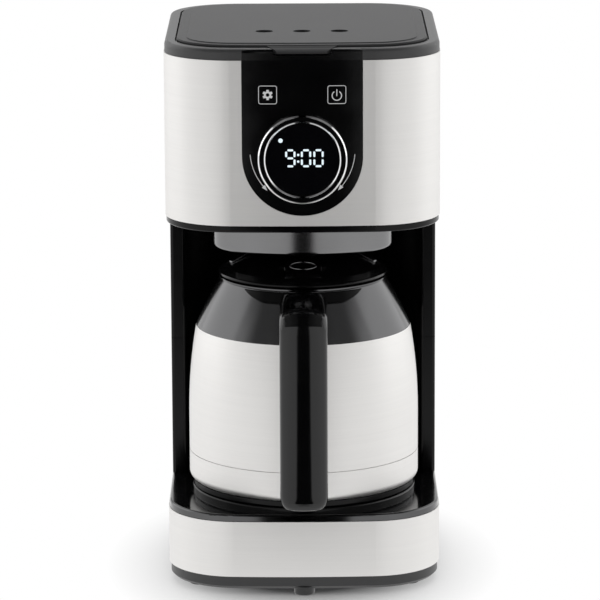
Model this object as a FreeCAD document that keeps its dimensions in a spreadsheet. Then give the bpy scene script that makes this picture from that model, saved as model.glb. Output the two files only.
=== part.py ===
import FreeCAD, Part
import math
import os
import Sketcher
from FreeCAD import Placement, Rotation, Vector

os.makedirs("parts", exist_ok=True)
doc = FreeCAD.newDocument("drip_coffee_maker")
sheet = doc.addObject("Spreadsheet::Sheet", "Sizes")
level_sheet = doc.addObject("Spreadsheet::Sheet", "Levels")

# Driving sizes in millimetres
SIZES = {
    "carafe_radius": 74.8, "carafe_front_gap": 2.4, "carafe_sheet": 0.8, "vacuum_gap": 5.0,
    "carafe_foot_height": 4.0, "carafe_foot_inset": 2.5, "cup_height": 19.7, "cup_corner": 5.0,
    "shell_straight": 25.0, "shell_curve_height": 57.0, "shoulder_drop": 5.1,
    "collar_height": 32.8, "collar_rim_radius": 53.5, "collar_wall": 2.5, "mouth_radius": 46.3,
    "brim_radius": 54.8, "brim_gap": 0.6, "brim_height": 2.8, "lid_dome_height": 14.6,
    "lid_flat_radius": 18.0,
    "carafe_lid_wall": 2.2, "plug_depth": 15.5, "plug_clearance": 1.1, "plug_wall": 2.2,
    "handle_reach": 46.0, "handle_width": 30.0, "handle_depth": 16.0, "handle_bend": 22.0,
    "handle_tail_gap": 10.5, "handle_edge": 6.0, "saddle_thickness": 2.0, "saddle_half_width": 38.0,
    "saddle_depth": 12.5, "saddle_wing": 7.2, "saddle_round": 13.0,
    "handle_root": 12.5, "lever_width": 23.0, "lever_play": 0.5,
    "bay_gap": 9.3, "wing_setback": 32.0, "wing_width": 10.0, "column_wall": 2.5, "tank_room": 54.3,
    "front_bow": 700.0, "corner_radius": 45.0,
    "foot_gap": 4.0, "foot_radius": 6.6, "foot_seat": 1.5, "cover_height": 8.3, "cover_inset": 1.2,
    "cover_floor": 3.0, "cover_wall": 2.5, "base_band_height": 36.3, "base_rim_height": 4.7,
    "seat_rise": 3.2,
    "slide_clearance": 0.2, "band_sheet": 0.8, "band_clearance": 0.3, "rim_inset": 0.6, "shell_wall": 3.0,
    "deck": 2.5, "lower_column_height": 92.0, "valve_clearance": 0.6, "valve_drop": 3.0,
    "filter_drop": 19.8,
    "filter_half_width": 57.5, "filter_front_gap": 25.0, "filter_bow": 90.0, "filter_corner": 28.0,
    "filter_wall": 2.5, "basket_foot_radius": 40.0, "basket_rim_radius": 50.0, "basket_height": 98.0,
    "well_wall": 2.0, "head_rim_height": 4.2, "head_band_height": 105.2, "frame_height": 7.1,
    "lid_rise": 2.0, "lid_inset": 8.5, "lid_gap": 1.3, "lid_back_gap": 7.5, "ledge_width": 4.0,
    "lid_top": 2.4, "lid_border": 6.0, "lid_crown": 0.5,
    "lid_skirt": 2.0, "vent_radius": 5.6, "vent_pitch": 24.0, "vent_advance": 10.0,
    "tab_root_width": 45.0, "tab_tip_width": 31.0,
    "hinge_pin_radius": 1.5, "hinge_barrel_radius": 3.2, "knuckle_length": 14.0,
    "panel_width": 75.9, "panel_sill": 6.8, "panel_thickness": 2.2, "panel_gap": 0.25, "dial_offset": 1.6,
    "dial_radius": 28.0, "dial_trim": 1.1, "dial_bore": 23.3, "dial_height": 4.2, "hub_wall": 1.2,
    "running_fit": 0.05, "board_setback": 14.0, "board_sheet": 1.6, "key_pitch": 43.2, "key_drop": 22.2,
    "pad_radius": 5.0, "tank_half_width": 60.0, "tank_wall": 2.0, "tank_height": 174.0, "tank_corner": 20.0,
    "outlet_radius": 6.0, "hose_wall": 2.4, "heater_half_pitch": 30.0, "heater_width": 18.0,
    "heater_height": 20.0, "heater_leg": 68.0, "nipple_radius": 5.0, "riser_gap": 13.7741,
    "screw_radius": 1.5, "shower_radius": 36.0,
}


class Size:
    """A length that holds its number and the cell formula it comes from."""

    def __init__(self, value, text):
        self.value = float(value)
        self.text = text

    def __add__(self, other):
        other = as_size(other)
        return Size(self.value + other.value, f"({self.text} + {other.text})")

    def __sub__(self, other):
        other = as_size(other)
        return Size(self.value - other.value, f"({self.text} - {other.text})")

    def __mul__(self, other):
        other = as_size(other)
        return Size(self.value * other.value, f"({self.text} * {other.text})")

    def __truediv__(self, other):
        other = as_size(other)
        return Size(self.value / other.value, f"({self.text} / {other.text})")

    def __radd__(self, other):
        return as_size(other) + self

    def __rsub__(self, other):
        return as_size(other) - self

    def __rmul__(self, other):
        return as_size(other) * self

    def __neg__(self):
        return Size(-self.value, f"(0 - {self.text})")


def as_size(item):
    return item if isinstance(item, Size) else Size(item, f"({float(item)!r})")


def root(item):
    return Size(math.sqrt(item.value), f"sqrt({item.text})")


def side(hypotenuse, leg):
    """The other leg of a right triangle."""
    return root(hypotenuse * hypotenuse - leg * leg)


class Names:
    pass


def read_sizes():
    names = Names()
    for row, (alias, number) in enumerate(SIZES.items(), 1):
        sheet.set(f"A{row}", alias)
        sheet.set(f"B{row}", str(number))
        sheet.setAlias(f"B{row}", alias)
        setattr(names, alias, Size(number, f"Sizes.{alias}"))
    return names


s = read_sizes()
at = Names()


def level(alias, item):
    """Keep a derived place or size under a name of its own."""
    at.count = getattr(at, "count", 0) + 1
    level_sheet.set(f"A{at.count}", alias)
    level_sheet.set(f"B{at.count}", "=" + as_size(item).text)
    level_sheet.setAlias(f"B{at.count}", alias)
    setattr(at, alias, Size(as_size(item).value, f"Levels.{alias}"))


def set_levels():
    """Work out the heights and depths that the pieces share."""
    level("recess", s.carafe_radius + s.bay_gap)
    level("half", side(at.recess, s.wing_setback) + s.wing_width)
    level("riser_side", at.half - s.riser_gap)
    level("shoulder_radius", s.carafe_radius - s.shoulder_drop)
    level("axis_depth", s.carafe_front_gap + s.carafe_radius)
    level("body_depth", at.axis_depth + at.recess + s.column_wall + s.tank_room)
    level("back", (at.body_depth + s.handle_reach) / 2)
    level("front", at.back - at.body_depth)
    level("axis", at.front + at.axis_depth)
    level("column_front", at.axis + s.wing_setback)
    level("handle_front", at.front - s.handle_reach)
    level("cover_top", s.foot_gap + s.cover_height)
    level("cover_floor_top", s.foot_gap + s.cover_floor)
    level("base_band_top", at.cover_top + s.base_band_height)
    level("base_top", at.base_band_top + s.base_rim_height)
    level("seat_top", at.base_top + s.seat_rise)
    level("carafe_bottom", at.seat_top + s.slide_clearance)
    level("cup_bottom", at.carafe_bottom + s.carafe_foot_height)
    level("cup_top", at.cup_bottom + s.cup_height)
    level("shell_bend", at.cup_top + s.shell_straight)
    level("shell_top", at.shell_bend + s.shell_curve_height)
    level("collar_top", at.shell_top + s.collar_height)
    level("brim_bottom", at.collar_top + s.brim_gap)
    level("brim_top", at.brim_bottom + s.brim_height)
    level("carafe_top", at.brim_top + s.lid_dome_height)
    level("valve_tip", at.carafe_top + s.valve_clearance)
    level("filter_bottom", at.valve_tip + s.valve_drop)
    level("head_bottom", at.filter_bottom + s.filter_drop)
    level("head_band_bottom", at.head_bottom + s.head_rim_height)
    level("frame_bottom", at.head_band_bottom + s.head_band_height)
    level("frame_top", at.frame_bottom + s.frame_height)
    level("lid_top_face", at.frame_top + s.lid_rise)
    level("ledge_top", at.frame_bottom + s.frame_height / 2)
    level("column_seam", at.base_top + s.lower_column_height)
    level("liner_radius", s.carafe_radius - s.carafe_sheet - s.vacuum_gap)
    level("neck_outer", s.mouth_radius + s.carafe_sheet)
    level("panel_centre", at.head_band_bottom + s.panel_sill + s.panel_width / 2)
    level("dial_centre", at.panel_centre - s.dial_offset)
    level("lid_back", at.back - s.lid_inset - s.lid_back_gap)
    level("hinge_depth", at.lid_back + s.hinge_barrel_radius + 0.4)
    level("hinge_height", at.lid_top_face - s.hinge_barrel_radius - 1.4)
    level("plug_radius", s.mouth_radius - s.plug_clearance)
    level("plug_bottom", at.brim_bottom - s.plug_depth)
    level("board_face", at.front + s.board_setback)
    level("board_back", at.board_face + s.board_sheet)
    level("basket_floor", at.filter_bottom + s.filter_wall + 1.6)
    level("basket_top", at.filter_bottom + s.filter_wall + s.basket_height)
    level("heater_bottom", at.cover_floor_top + 14)
    level("heater_top", at.heater_bottom + s.heater_height)
    level("heater_axis", at.heater_bottom + s.heater_height / 2)
    level("heater_back", at.axis + 70)
    level("outlet_depth", at.back - 28)
    level("riser_depth", at.heater_back + 24)
    level("tank_bottom", at.column_seam + 0.3)
    level("tank_top", at.tank_bottom + s.tank_height)
    level("shower_height", at.basket_top + 14)
    level("lever_radius", side(s.brim_radius, s.lever_width / 2) - 20)
    level("lever_height", at.brim_top + 6.2)


set_levels()
doc.recompute()
nodes = {}


# Sketches and features

def body(name, **place):
    item = doc.addObject("PartDesign::Body", name)
    for direction, value in place.items():
        item.setExpression(f"Placement.Base.{direction}", as_size(value).text)
    return item


def sketch(owner, plane, offset):
    item = owner.newObject("Sketcher::SketchObject", owner.Name + "_sketch")
    support = [f for f in owner.Origin.OriginFeatures if f.Role == plane][0]
    item.AttachmentSupport = [(support, "")]
    item.MapMode = "FlatFace"
    item.setExpression("AttachmentOffset.Base.z", as_size(offset).text)
    return item


def arc_through(start, end, radius):
    """An arc between two points, centred left of the way, or right for a negative radius."""
    chord = end - start
    reach = math.sqrt(max(radius * radius - chord.Length ** 2 / 4, 0.0))
    across = Vector(-chord.y, chord.x, 0).normalize()
    centre = (start + end) / 2 + across * (reach if radius > 0 else -reach)
    first, last = (start, end) if radius > 0 else (end, start)
    turn = [math.atan2(p.y - centre.y, p.x - centre.x) for p in (first, last)]
    circle = Part.Circle(centre, Vector(0, 0, 1), abs(radius))
    return Part.ArcOfCircle(circle, turn[0], turn[1])


def draw_path(item, path):
    """Close a path of corners; a third number bends the edge that leaves a corner to that radius."""
    corners = [tuple(as_size(v) for v in corner) for corner in path]
    points = [Vector(c[0].value, c[1].value, 0) for c in corners]
    first = item.GeometryCount
    ends = []
    for i, corner in enumerate(corners):
        after = points[(i + 1) % len(points)]
        bent = len(corner) > 2
        line = Part.LineSegment(points[i], after)
        item.addGeometry(arc_through(points[i], after, corner[2].value) if bent else line, False)
        ends.append((2, 1) if bent and corner[2].value < 0 else (1, 2))
    for i, corner in enumerate(corners):
        j = (i + 1) % len(corners)
        edge = first + i
        item.addConstraint(Sketcher.Constraint("Coincident", edge, ends[i][1], first + j, ends[j][0]))
        tie(item, Sketcher.Constraint("DistanceX", -1, 1, edge, ends[i][0], corner[0].value), corner[0])
        tie(item, Sketcher.Constraint("DistanceY", -1, 1, edge, ends[i][0], corner[1].value), corner[1])
        if len(corner) > 2:
            bend = corner[2] if corner[2].value > 0 else -corner[2]
            tie(item, Sketcher.Constraint("Radius", edge, bend.value), bend)


def draw_circles(item, circles):
    for circle in circles:
        x, y, radius = [as_size(v) for v in circle]
        centre = Vector(x.value, y.value, 0)
        edge = item.addGeometry(Part.Circle(centre, Vector(0, 0, 1), radius.value), False)
        tie(item, Sketcher.Constraint("DistanceX", -1, 1, edge, 3, x.value), x)
        tie(item, Sketcher.Constraint("DistanceY", -1, 1, edge, 3, y.value), y)
        tie(item, Sketcher.Constraint("Radius", edge, radius.value), radius)


def tie(item, constraint, length):
    index = item.addConstraint(constraint)
    item.setExpression(f"Constraints[{index}]", length.text)


def feature(owner, kind, profile, length, reverse):
    item = owner.newObject("PartDesign::" + kind, owner.Name + "_" + kind.lower())
    item.Profile = profile
    item.setExpression("Length", as_size(length).text)
    item.Reversed = reverse
    return item


def extrude(owner, low, high, path=None, circles=(), plane="XY_Plane"):
    """Add a prism between two offsets from a plane."""
    profile = sketch(owner, plane, low)
    if path:
        draw_path(profile, path)
    draw_circles(profile, circles)
    return feature(owner, "Pad", profile, high - low, False)


def remove(owner, low, high, path=None, circles=(), plane="XY_Plane"):
    """Cut a prism between two offsets from a plane, and make sure that it cuts."""
    doc.recompute()
    before = owner.Shape.Volume
    profile = sketch(owner, plane, low)
    if path:
        draw_path(profile, path)
    draw_circles(profile, circles)
    item = feature(owner, "Pocket", profile, high - low, True)
    doc.recompute()
    if owner.Shape.Volume > before - 0.01:
        raise RuntimeError(f"{item.Name} cuts nothing")
    return item


def turn(name, path, plane="XZ_Plane", **place):
    """Turn a profile of (radius, height) corners about its upright axis."""
    owner = body(name, **place)
    profile = sketch(owner, plane, 0)
    draw_path(profile, path)
    item = owner.newObject("PartDesign::Revolution", name + "_turn")
    item.Profile = profile
    item.ReferenceAxis = (profile, ["V_Axis"])
    item.Angle = 360
    return owner


def turn_upright(name, path):
    """Turn a profile about the carafe axis."""
    return turn(name, path, y=at.axis)


def turn_forward(name, path):
    """Turn a profile of (radius, depth) corners about the selector axis."""
    return turn(name, path, plane="XY_Plane", z=at.dial_centre)


def edge_names(shape, wanted):
    return [f"Edge{i}" for i, edge in enumerate(shape.Edges, 1) if wanted(edge)]


def flat_at(height):
    """Pick the edges that lie at one height."""
    def wanted(edge):
        ends = (edge.BoundBox.ZMin, edge.BoundBox.ZMax)
        return max(abs(z - height.value) for z in ends) < 1e-4
    return wanted


def dress(owner, kind, amount, wanted):
    """Round or bevel the edges picked on the last feature of a body."""
    doc.recompute()
    base = owner.Tip
    item = owner.newObject("PartDesign::" + kind, owner.Name + "_" + kind.lower())
    item.Base = (base, edge_names(base.Shape, wanted))
    setting = "Radius" if kind == "Fillet" else "Size"
    item.setExpression(setting, as_size(amount).text)
    return item


# Plain solids and their joins

AXES = {"up": Rotation(), "forward": Rotation(Vector(1, 0, 0), 90), "right": Rotation(Vector(0, 1, 0), 90),
        "back": Rotation(Vector(1, 0, 0), -90)}


def place(item, x, y, z):
    for direction, value in zip("xyz", (x, y, z)):
        item.setExpression(f"Placement.Base.{direction}", as_size(value).text)


def box(name, x, y, z):
    """A box between pairs of limits."""
    item = doc.addObject("Part::Box", name)
    for setting, limits in zip(("Length", "Width", "Height"), (x, y, z)):
        item.setExpression(setting, (as_size(limits[1]) - limits[0]).text)
    place(item, x[0], y[0], z[0])
    return item


def rod(name, radius, length, x, y, z, way="up"):
    item = doc.addObject("Part::Cylinder", name)
    item.setExpression("Radius", as_size(radius).text)
    item.setExpression("Height", as_size(length).text)
    item.Placement = Placement(Vector(), AXES[way])
    place(item, x, y, z)
    return item


def fuse(name, *items):
    item = doc.addObject("Part::MultiFuse", name)
    item.Shapes = list(items)
    item.Refine = True
    return item


def common(name, *items):
    item = doc.addObject("Part::MultiCommon", name)
    item.Shapes = list(items)
    item.Refine = True
    return item


def cut(name, base, *tools):
    item = doc.addObject("Part::Cut", name)
    item.Base = base
    item.Tool = tools[0] if len(tools) == 1 else fuse(name + "_tools", *tools)
    item.Refine = True
    return item


def group(name, *items):
    item = doc.addObject("Part::Compound", name)
    item.Links = list(items)
    return item


def keep(name, item):
    nodes[name] = item
    return item


def rounded_route(points, bend):
    """A wire through points with its corners rounded to one radius."""
    edges = []
    start = points[0]
    for before, corner, after in zip(points, points[1:], points[2:]):
        inward = (corner - before).normalize()
        outward = (after - corner).normalize()
        half = inward.getAngle(outward) / 2
        first = corner - inward * bend * math.tan(half)
        last = corner + outward * bend * math.tan(half)
        middle = (outward - inward).normalize()
        centre = corner + middle * bend / math.cos(half)
        edges.append(Part.LineSegment(start, first).toShape())
        edges.append(Part.Arc(first, centre - middle * bend, last).toShape())
        start = last
    edges.append(Part.LineSegment(start, points[-1]).toShape())
    return Part.Wire(edges)


def swept(route, radius):
    start = route.Edges[0].Vertexes[0].Point
    way = route.Edges[0].tangentAt(route.Edges[0].FirstParameter)
    ring = Part.Wire([Part.Circle(start, way, radius).toShape()])
    return route.makePipeShell([ring], True, False)


def hose(name, points, bend, bore, wall):
    """A hose along a route, drawn from the sizes in the sheet."""
    route = rounded_route([Vector(*[as_size(v).value for v in point]) for point in points], bend)
    item = doc.addObject("Part::Feature", name)
    item.Shape = swept(route, bore.value + wall.value).cut(swept(route, bore.value))
    return item


def coil(name, radius, wire, low, high, turns):
    """A coil spring about the carafe axis: one unbroken tube along half-turn arcs."""
    pitch = (high.value - low.value - 2 * wire) / turns
    points = []
    for i in range(turns * 4 + 1):
        angle = i * math.pi / 2
        height = low.value + wire + pitch * i / 4
        points.append(Vector(radius * math.cos(angle), at.axis.value + radius * math.sin(angle), height))
    curve = Part.BSplineCurve()
    curve.interpolate(points)
    route = Part.Wire([curve.toShape()])
    way = curve.tangent(curve.FirstParameter)[0]
    ring = Part.Wire([Part.Circle(points[0], way, wire).toShape()])
    item = doc.addObject("Part::Feature", name)
    item.Shape = route.makePipeShell([ring], True, True)
    return item


# Plans

def outline(half, front, back, bow, corner):
    """A plan with a bowed front and four rounded corners."""
    reach = bow - corner
    across = half - corner
    along = front + bow - side(reach, across)
    touch_x = across * bow / reach
    touch_y = front + bow - side(reach, across) * bow / reach
    return [(-touch_x, touch_y, bow), (touch_x, touch_y, corner), (half, along),
            (half, back - corner, corner), (half - corner, back), (corner - half, back, corner),
            (-half, back - corner), (-half, along, corner)]


def plan(inset):
    """The plan of the machine, drawn inside its outer face."""
    return lid_plan(inset, at.back - inset)


def lid_plan(inset, back):
    """The same plan, with its back at a depth of its own."""
    return outline(at.half - inset, at.front + inset, back, s.front_bow - inset, s.corner_radius - inset)


def filter_plan(inset):
    half_depth = at.axis - at.front - s.filter_front_gap
    return outline(s.filter_half_width - inset, at.axis - half_depth + inset, at.axis + half_depth - inset,
                   s.filter_bow - inset, s.filter_corner - inset)


def column_plan(inset):
    """The plan of the column: straight sides, rounded back, hollow front round the carafe."""
    half = at.half - inset
    front = at.column_front + inset
    recess = at.recess + inset
    back = at.back - inset
    corner = s.corner_radius - inset
    edge = side(recess, front - at.axis)
    return [(edge, front), (half, front), (half, back - corner, corner), (half - corner, back),
            (corner - half, back, corner), (-half, back - corner), (-half, front), (-edge, front, -recess)]


def tank_plan(inset):
    half = s.tank_half_width - inset
    reach = at.recess + s.column_wall + s.rim_inset + 1 + inset
    start = at.axis + side(reach, half)
    back = at.back - s.rim_inset - s.column_wall - 1 - inset
    corner = s.tank_corner - inset
    return [(half, start), (half, back - corner, corner), (half - corner, back),
            (corner - half, back, corner), (-half, back - corner), (-half, start, -reach)]


def rectangle(x0, x1, y0, y1):
    return [(x0, y0), (x1, y0), (x1, y1), (x0, y1)]


def panel_outline(inset):
    """The U of the control panel, in front view."""
    half = s.panel_width / 2 - inset
    top = at.frame_bottom + 1
    return [(half, top), (-half, top), (-half, at.panel_centre, half), (0, at.panel_centre - half, half),
            (half, at.panel_centre)]


def ring_wall(name, outer, inner, low, high):
    """A wall that follows the plan of the machine."""
    owner = body(name)
    extrude(owner, low, high, plan(outer))
    remove(owner, low, high, plan(inner))
    return owner


def panel_prism(name, inset):
    owner = body(name)
    extrude(owner, -at.front - 20, -at.front + 20, panel_outline(inset), plane="XZ_Plane")
    return owner


# Places shared by fasteners and what they hold

def mirrored(x, y):
    return [(x, y), (-x, y)]


def cover_screw_places():
    return mirrored(as_size(70), at.axis) + mirrored(as_size(60), at.axis + 70)


def foot_places():
    front_foot = [(as_size(0), at.front + s.cover_inset + 5)]
    return front_foot + mirrored(at.half - 20, at.front + 32) + mirrored(at.half - 28, at.back - 22)


def strap_places():
    return mirrored(s.heater_half_pitch + s.heater_width / 2 + 7, at.axis + 30)


def board_post_places():
    return [(as_size(0), at.axis + 5), (as_size(0), at.axis + 55)]


def board_screw_places():
    heights = (at.dial_centre - 30, at.frame_bottom - 10)
    return [(x, z) for z in heights for x in (as_size(-31), as_size(31))]


def key_places():
    return mirrored(s.key_pitch / 2, at.frame_bottom - s.key_drop)


# Base

def make_bottom_cover():
    part = body("bottom_cover_body")
    extrude(part, s.foot_gap, at.cover_top, plan(s.cover_inset))
    dress(part, "Chamfer", 1.8, flat_at(s.foot_gap))
    remove(part, at.cover_floor_top, at.cover_top, plan(s.cover_inset + s.cover_wall))
    posts = [(x, y, 4) for x, y in strap_places()]
    extrude(part, at.cover_floor_top, at.heater_bottom - 1.5, circles=posts)
    board_posts = [(x, y, 3) for x, y in board_post_places()]
    extrude(part, at.cover_floor_top, at.cover_floor_top + 5, circles=board_posts)
    foot_seats = [(x, y, s.foot_radius) for x, y in foot_places()]
    remove(part, s.foot_gap, s.foot_gap + s.foot_seat, circles=foot_seats)
    heads = [(x, y, s.screw_radius * 2 + 0.5) for x, y in cover_screw_places()]
    remove(part, s.foot_gap, s.foot_gap + 1.8, circles=heads)
    shanks = [(x, y, s.screw_radius + 0.1) for x, y in cover_screw_places()]
    remove(part, s.foot_gap, at.cover_floor_top, circles=shanks)
    strap_holes = [(x, y, s.screw_radius) for x, y in strap_places()]
    remove(part, at.heater_bottom - 9.5, at.heater_bottom - 1.5, circles=strap_holes)
    slots = body("cover_slots")
    for i in range(5):
        y = at.axis - 24 + 12 * i
        extrude(slots, s.foot_gap, at.cover_floor_top, rectangle(-15, 15, y - 1.5, y + 1.5))
    keep("bottom_cover", cut("bottom_cover", part, slots))


def make_feet():
    feet = []
    for i, (x, y) in enumerate(foot_places()):
        foot = body(f"foot_{i}", x=x, y=y)
        extrude(foot, as_size(0), s.foot_gap + s.foot_seat, circles=[(0, 0, s.foot_radius)])
        dress(foot, "Fillet", 0.8, flat_at(as_size(0)))
        feet.append(foot)
    keep("feet", group("feet", *feet))


def make_screws(name, places, head_height, shank_length, z, flip=False):
    """Upright screws with their heads below, or above when flipped."""
    screws = []
    for i, (x, y) in enumerate(places):
        head = rod(f"{name}_head_{i}", s.screw_radius * 2, head_height, x, y, z)
        start = z + head_height if not flip else z - shank_length
        shank = rod(f"{name}_shank_{i}", s.screw_radius, shank_length, x, y, start)
        screws.append(fuse(f"{name}_{i}", head, shank))
    keep(name, group(name, *screws))


def make_base_shell():
    inner = s.band_sheet + s.band_clearance
    part = body("base_shell_body")
    rim_bottom = at.base_band_top + 0.2
    extrude(part, rim_bottom, at.base_top, plan(s.rim_inset))
    dress(part, "Fillet", 1.4, flat_at(at.base_top))
    extrude(part, at.cover_top, rim_bottom, plan(inner))
    remove(part, at.cover_top, at.base_top - s.deck, plan(inner + s.shell_wall))
    posts = [(x, y, 4) for x, y in cover_screw_places()]
    extrude(part, at.cover_floor_top, at.base_top - s.deck, circles=posts)
    bores = [(x, y, s.screw_radius) for x, y in cover_screw_places()]
    remove(part, at.cover_floor_top, at.cover_floor_top + 16, circles=bores)
    deck_low = at.base_top - s.deck
    remove(part, deck_low, at.base_top, circles=[(0, at.axis, 60), (at.riser_side, at.riser_depth, 9)])
    opening = rectangle(-48, 48, at.axis + at.recess + s.column_wall + 4, at.back - 12)
    remove(part, deck_low, at.base_top, opening)
    gland = rod("gland_hole", 6, 20, 30, at.back - 15, at.cover_top + 16, "back")
    keep("base_shell", cut("base_shell", part, gland))


def band_cut(name):
    """The open back of a steel band."""
    return box(name, (-at.half - 1, at.half + 1), (at.back - s.corner_radius, at.back + 1),
               (s.foot_gap, at.frame_top))


def make_bands():
    base = ring_wall("base_band_wall", as_size(0), s.band_sheet, at.cover_top, at.base_band_top)
    keep("base_band", cut("base_band", base, band_cut("base_band_cut")))
    top = at.frame_bottom - 0.1
    head = ring_wall("head_band_wall", as_size(0), s.band_sheet, at.head_band_bottom + 0.2, top)
    window = panel_prism("head_band_window", as_size(0))
    keep("head_band", cut("head_band", head, band_cut("head_band_cut"), window))


def make_seat():
    low = at.base_top - s.deck
    radius = s.carafe_radius - s.carafe_foot_inset + 0.5
    path = [(0, low), (59.8, low), (59.8, at.base_top), (radius, at.base_top), (radius, at.seat_top - 1, 1),
            (radius - 1, at.seat_top), (0, at.seat_top)]
    keep("carafe_seat", turn_upright("carafe_seat", path))


def make_gland():
    inner = s.band_sheet + s.band_clearance
    wall = at.back - inner
    path = [(3.5, wall + 0.8), (8, wall + 0.8), (8, wall), (5.9, wall), (5.9, wall - s.shell_wall),
            (8, wall - s.shell_wall), (8, wall - s.shell_wall - 2), (5.9, wall - s.shell_wall - 2),
            (5.9, wall - s.shell_wall - 9), (3.5, wall - s.shell_wall - 9)]
    keep("cord_gland", turn("cord_gland", path, plane="XY_Plane", x=30, z=at.cover_top + 16))


# Column

def make_columns():
    lower = body("lower_column")
    inset = s.rim_inset
    inner = inset + s.column_wall
    extrude(lower, at.base_top, at.column_seam - 0.3, column_plan(inset))
    dress(lower, "Fillet", 2, column_front_edges)
    remove(lower, at.base_top, at.column_seam - s.column_wall, column_plan(inner))
    holes = [(-30, at.outlet_depth, s.outlet_radius + 3), (at.riser_side, at.riser_depth, 9)]
    remove(lower, at.column_seam - s.column_wall - 1, at.column_seam, circles=holes)
    keep("lower_column", lower)
    upper = body("upper_column")
    extrude(upper, at.column_seam, at.head_bottom, column_plan(inset))
    dress(upper, "Fillet", 2, column_front_edges)
    remove(upper, at.column_seam, at.head_bottom, column_plan(inner))
    keep("upper_column", upper)


def column_front_edges(edge):
    upright = edge.BoundBox.ZLength > 20
    front = at.column_front.value + s.rim_inset.value
    return upright and abs(edge.BoundBox.YMax - front) < 1e-3


# Head

def make_head_shell():
    inner = s.band_sheet + s.band_clearance
    part = body("head_shell_body")
    floor_top = at.head_bottom + s.shell_wall
    extrude(part, at.head_bottom, at.head_band_bottom, plan(s.rim_inset))
    dress(part, "Fillet", 1.2, flat_at(at.head_bottom))
    extrude(part, at.head_band_bottom, at.frame_bottom, plan(inner))
    remove(part, floor_top, at.frame_bottom, plan(inner + s.shell_wall))
    remove(part, at.head_bottom, floor_top, circles=[(0, at.axis, s.basket_rim_radius + 1)])
    remove(part, at.head_bottom, floor_top, column_plan(s.rim_inset + s.column_wall))
    ring = ring_wall("panel_seat_ring", inner - 0.2, inner + 1.4, at.head_band_bottom + 1,
                     at.frame_bottom + 0.5)
    seat = common("panel_seat", ring, panel_prism("panel_seat_prism", as_size(0)))
    posts = [rod(f"board_post_{i}", 3.5, s.board_setback - 3.8, x, at.board_face, z, "forward")
             for i, (x, z) in enumerate(board_screw_places())]
    holes = [rod(f"board_hole_{i}", s.screw_radius, 7, x, at.board_face, z, "forward")
             for i, (x, z) in enumerate(board_screw_places())]
    window = rod("dial_window", s.dial_bore + 2.4, 12, 0, at.front + 10, at.dial_centre, "forward")
    keys = [rod(f"key_window_{i}", s.pad_radius + 1, 12, x, at.front + 10, z, "forward")
            for i, (x, z) in enumerate(key_places())]
    solid = fuse("head_shell_posts", part, *posts)
    keep("head_shell", cut("head_shell", solid, seat, window, *holes, *keys))


def make_panel():
    face = as_size(0.2)
    ring = ring_wall("panel_ring", face, face + s.panel_thickness, at.head_band_bottom + 1, at.frame_bottom)
    plate = common("panel_plate", ring, panel_prism("panel_prism", s.panel_gap))
    window = rod("panel_window", s.dial_bore + 2.0, 20, 0, at.front + 12, at.dial_centre, "forward")
    keep("control_panel", cut("control_panel", plate, window))


def make_frame():
    part = body("top_frame_body")
    extrude(part, at.frame_bottom, at.frame_top, plan(as_size(0.5)))
    dress(part, "Fillet", 2.5, flat_at(at.frame_top))
    opening = s.lid_inset - s.lid_gap
    remove(part, at.ledge_top, at.frame_top, lid_plan(opening, at.back - s.lid_inset))
    well = lid_plan(s.lid_inset + s.ledge_width, at.back - s.lid_inset)
    remove(part, at.frame_bottom, at.ledge_top, well)
    notch_half = s.tab_root_width / 2 + 1
    tip_half = s.tab_tip_width / 2 + 1
    notch = [(-tip_half, at.front - 1), (tip_half, at.front - 1), (notch_half, at.front + opening + 2),
             (-notch_half, at.front + opening + 2)]
    remove(part, at.frame_top - 4, at.frame_top, notch)
    lugs = []
    for i, x in enumerate(lug_places()):
        reach = at.back - s.lid_inset + 1
        block = box(f"hinge_arm_{i}", (x, x + 6), (at.hinge_depth, reach),
                    (at.frame_bottom + 1, at.hinge_height + 1))
        barrel = rod(f"hinge_eye_{i}", s.hinge_barrel_radius - 0.2, 6, x, at.hinge_depth,
                     at.hinge_height, "right")
        lugs += [block, barrel]
    bores = [rod(f"hinge_bore_{i}", s.hinge_pin_radius, 6, x, at.hinge_depth, at.hinge_height, "right")
             for i, x in enumerate(lug_places())]
    keep("top_frame", cut("top_frame", fuse("frame_and_lugs", part, *lugs), *bores))


def knuckle_places():
    """The left end of each lid knuckle."""
    return [as_size(22), -22 - s.knuckle_length]


def lug_places():
    """The left end of each frame lug, either side of a knuckle."""
    return [end for x in knuckle_places() for end in (x - 6.3, x + s.knuckle_length + 0.3)]


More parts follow.
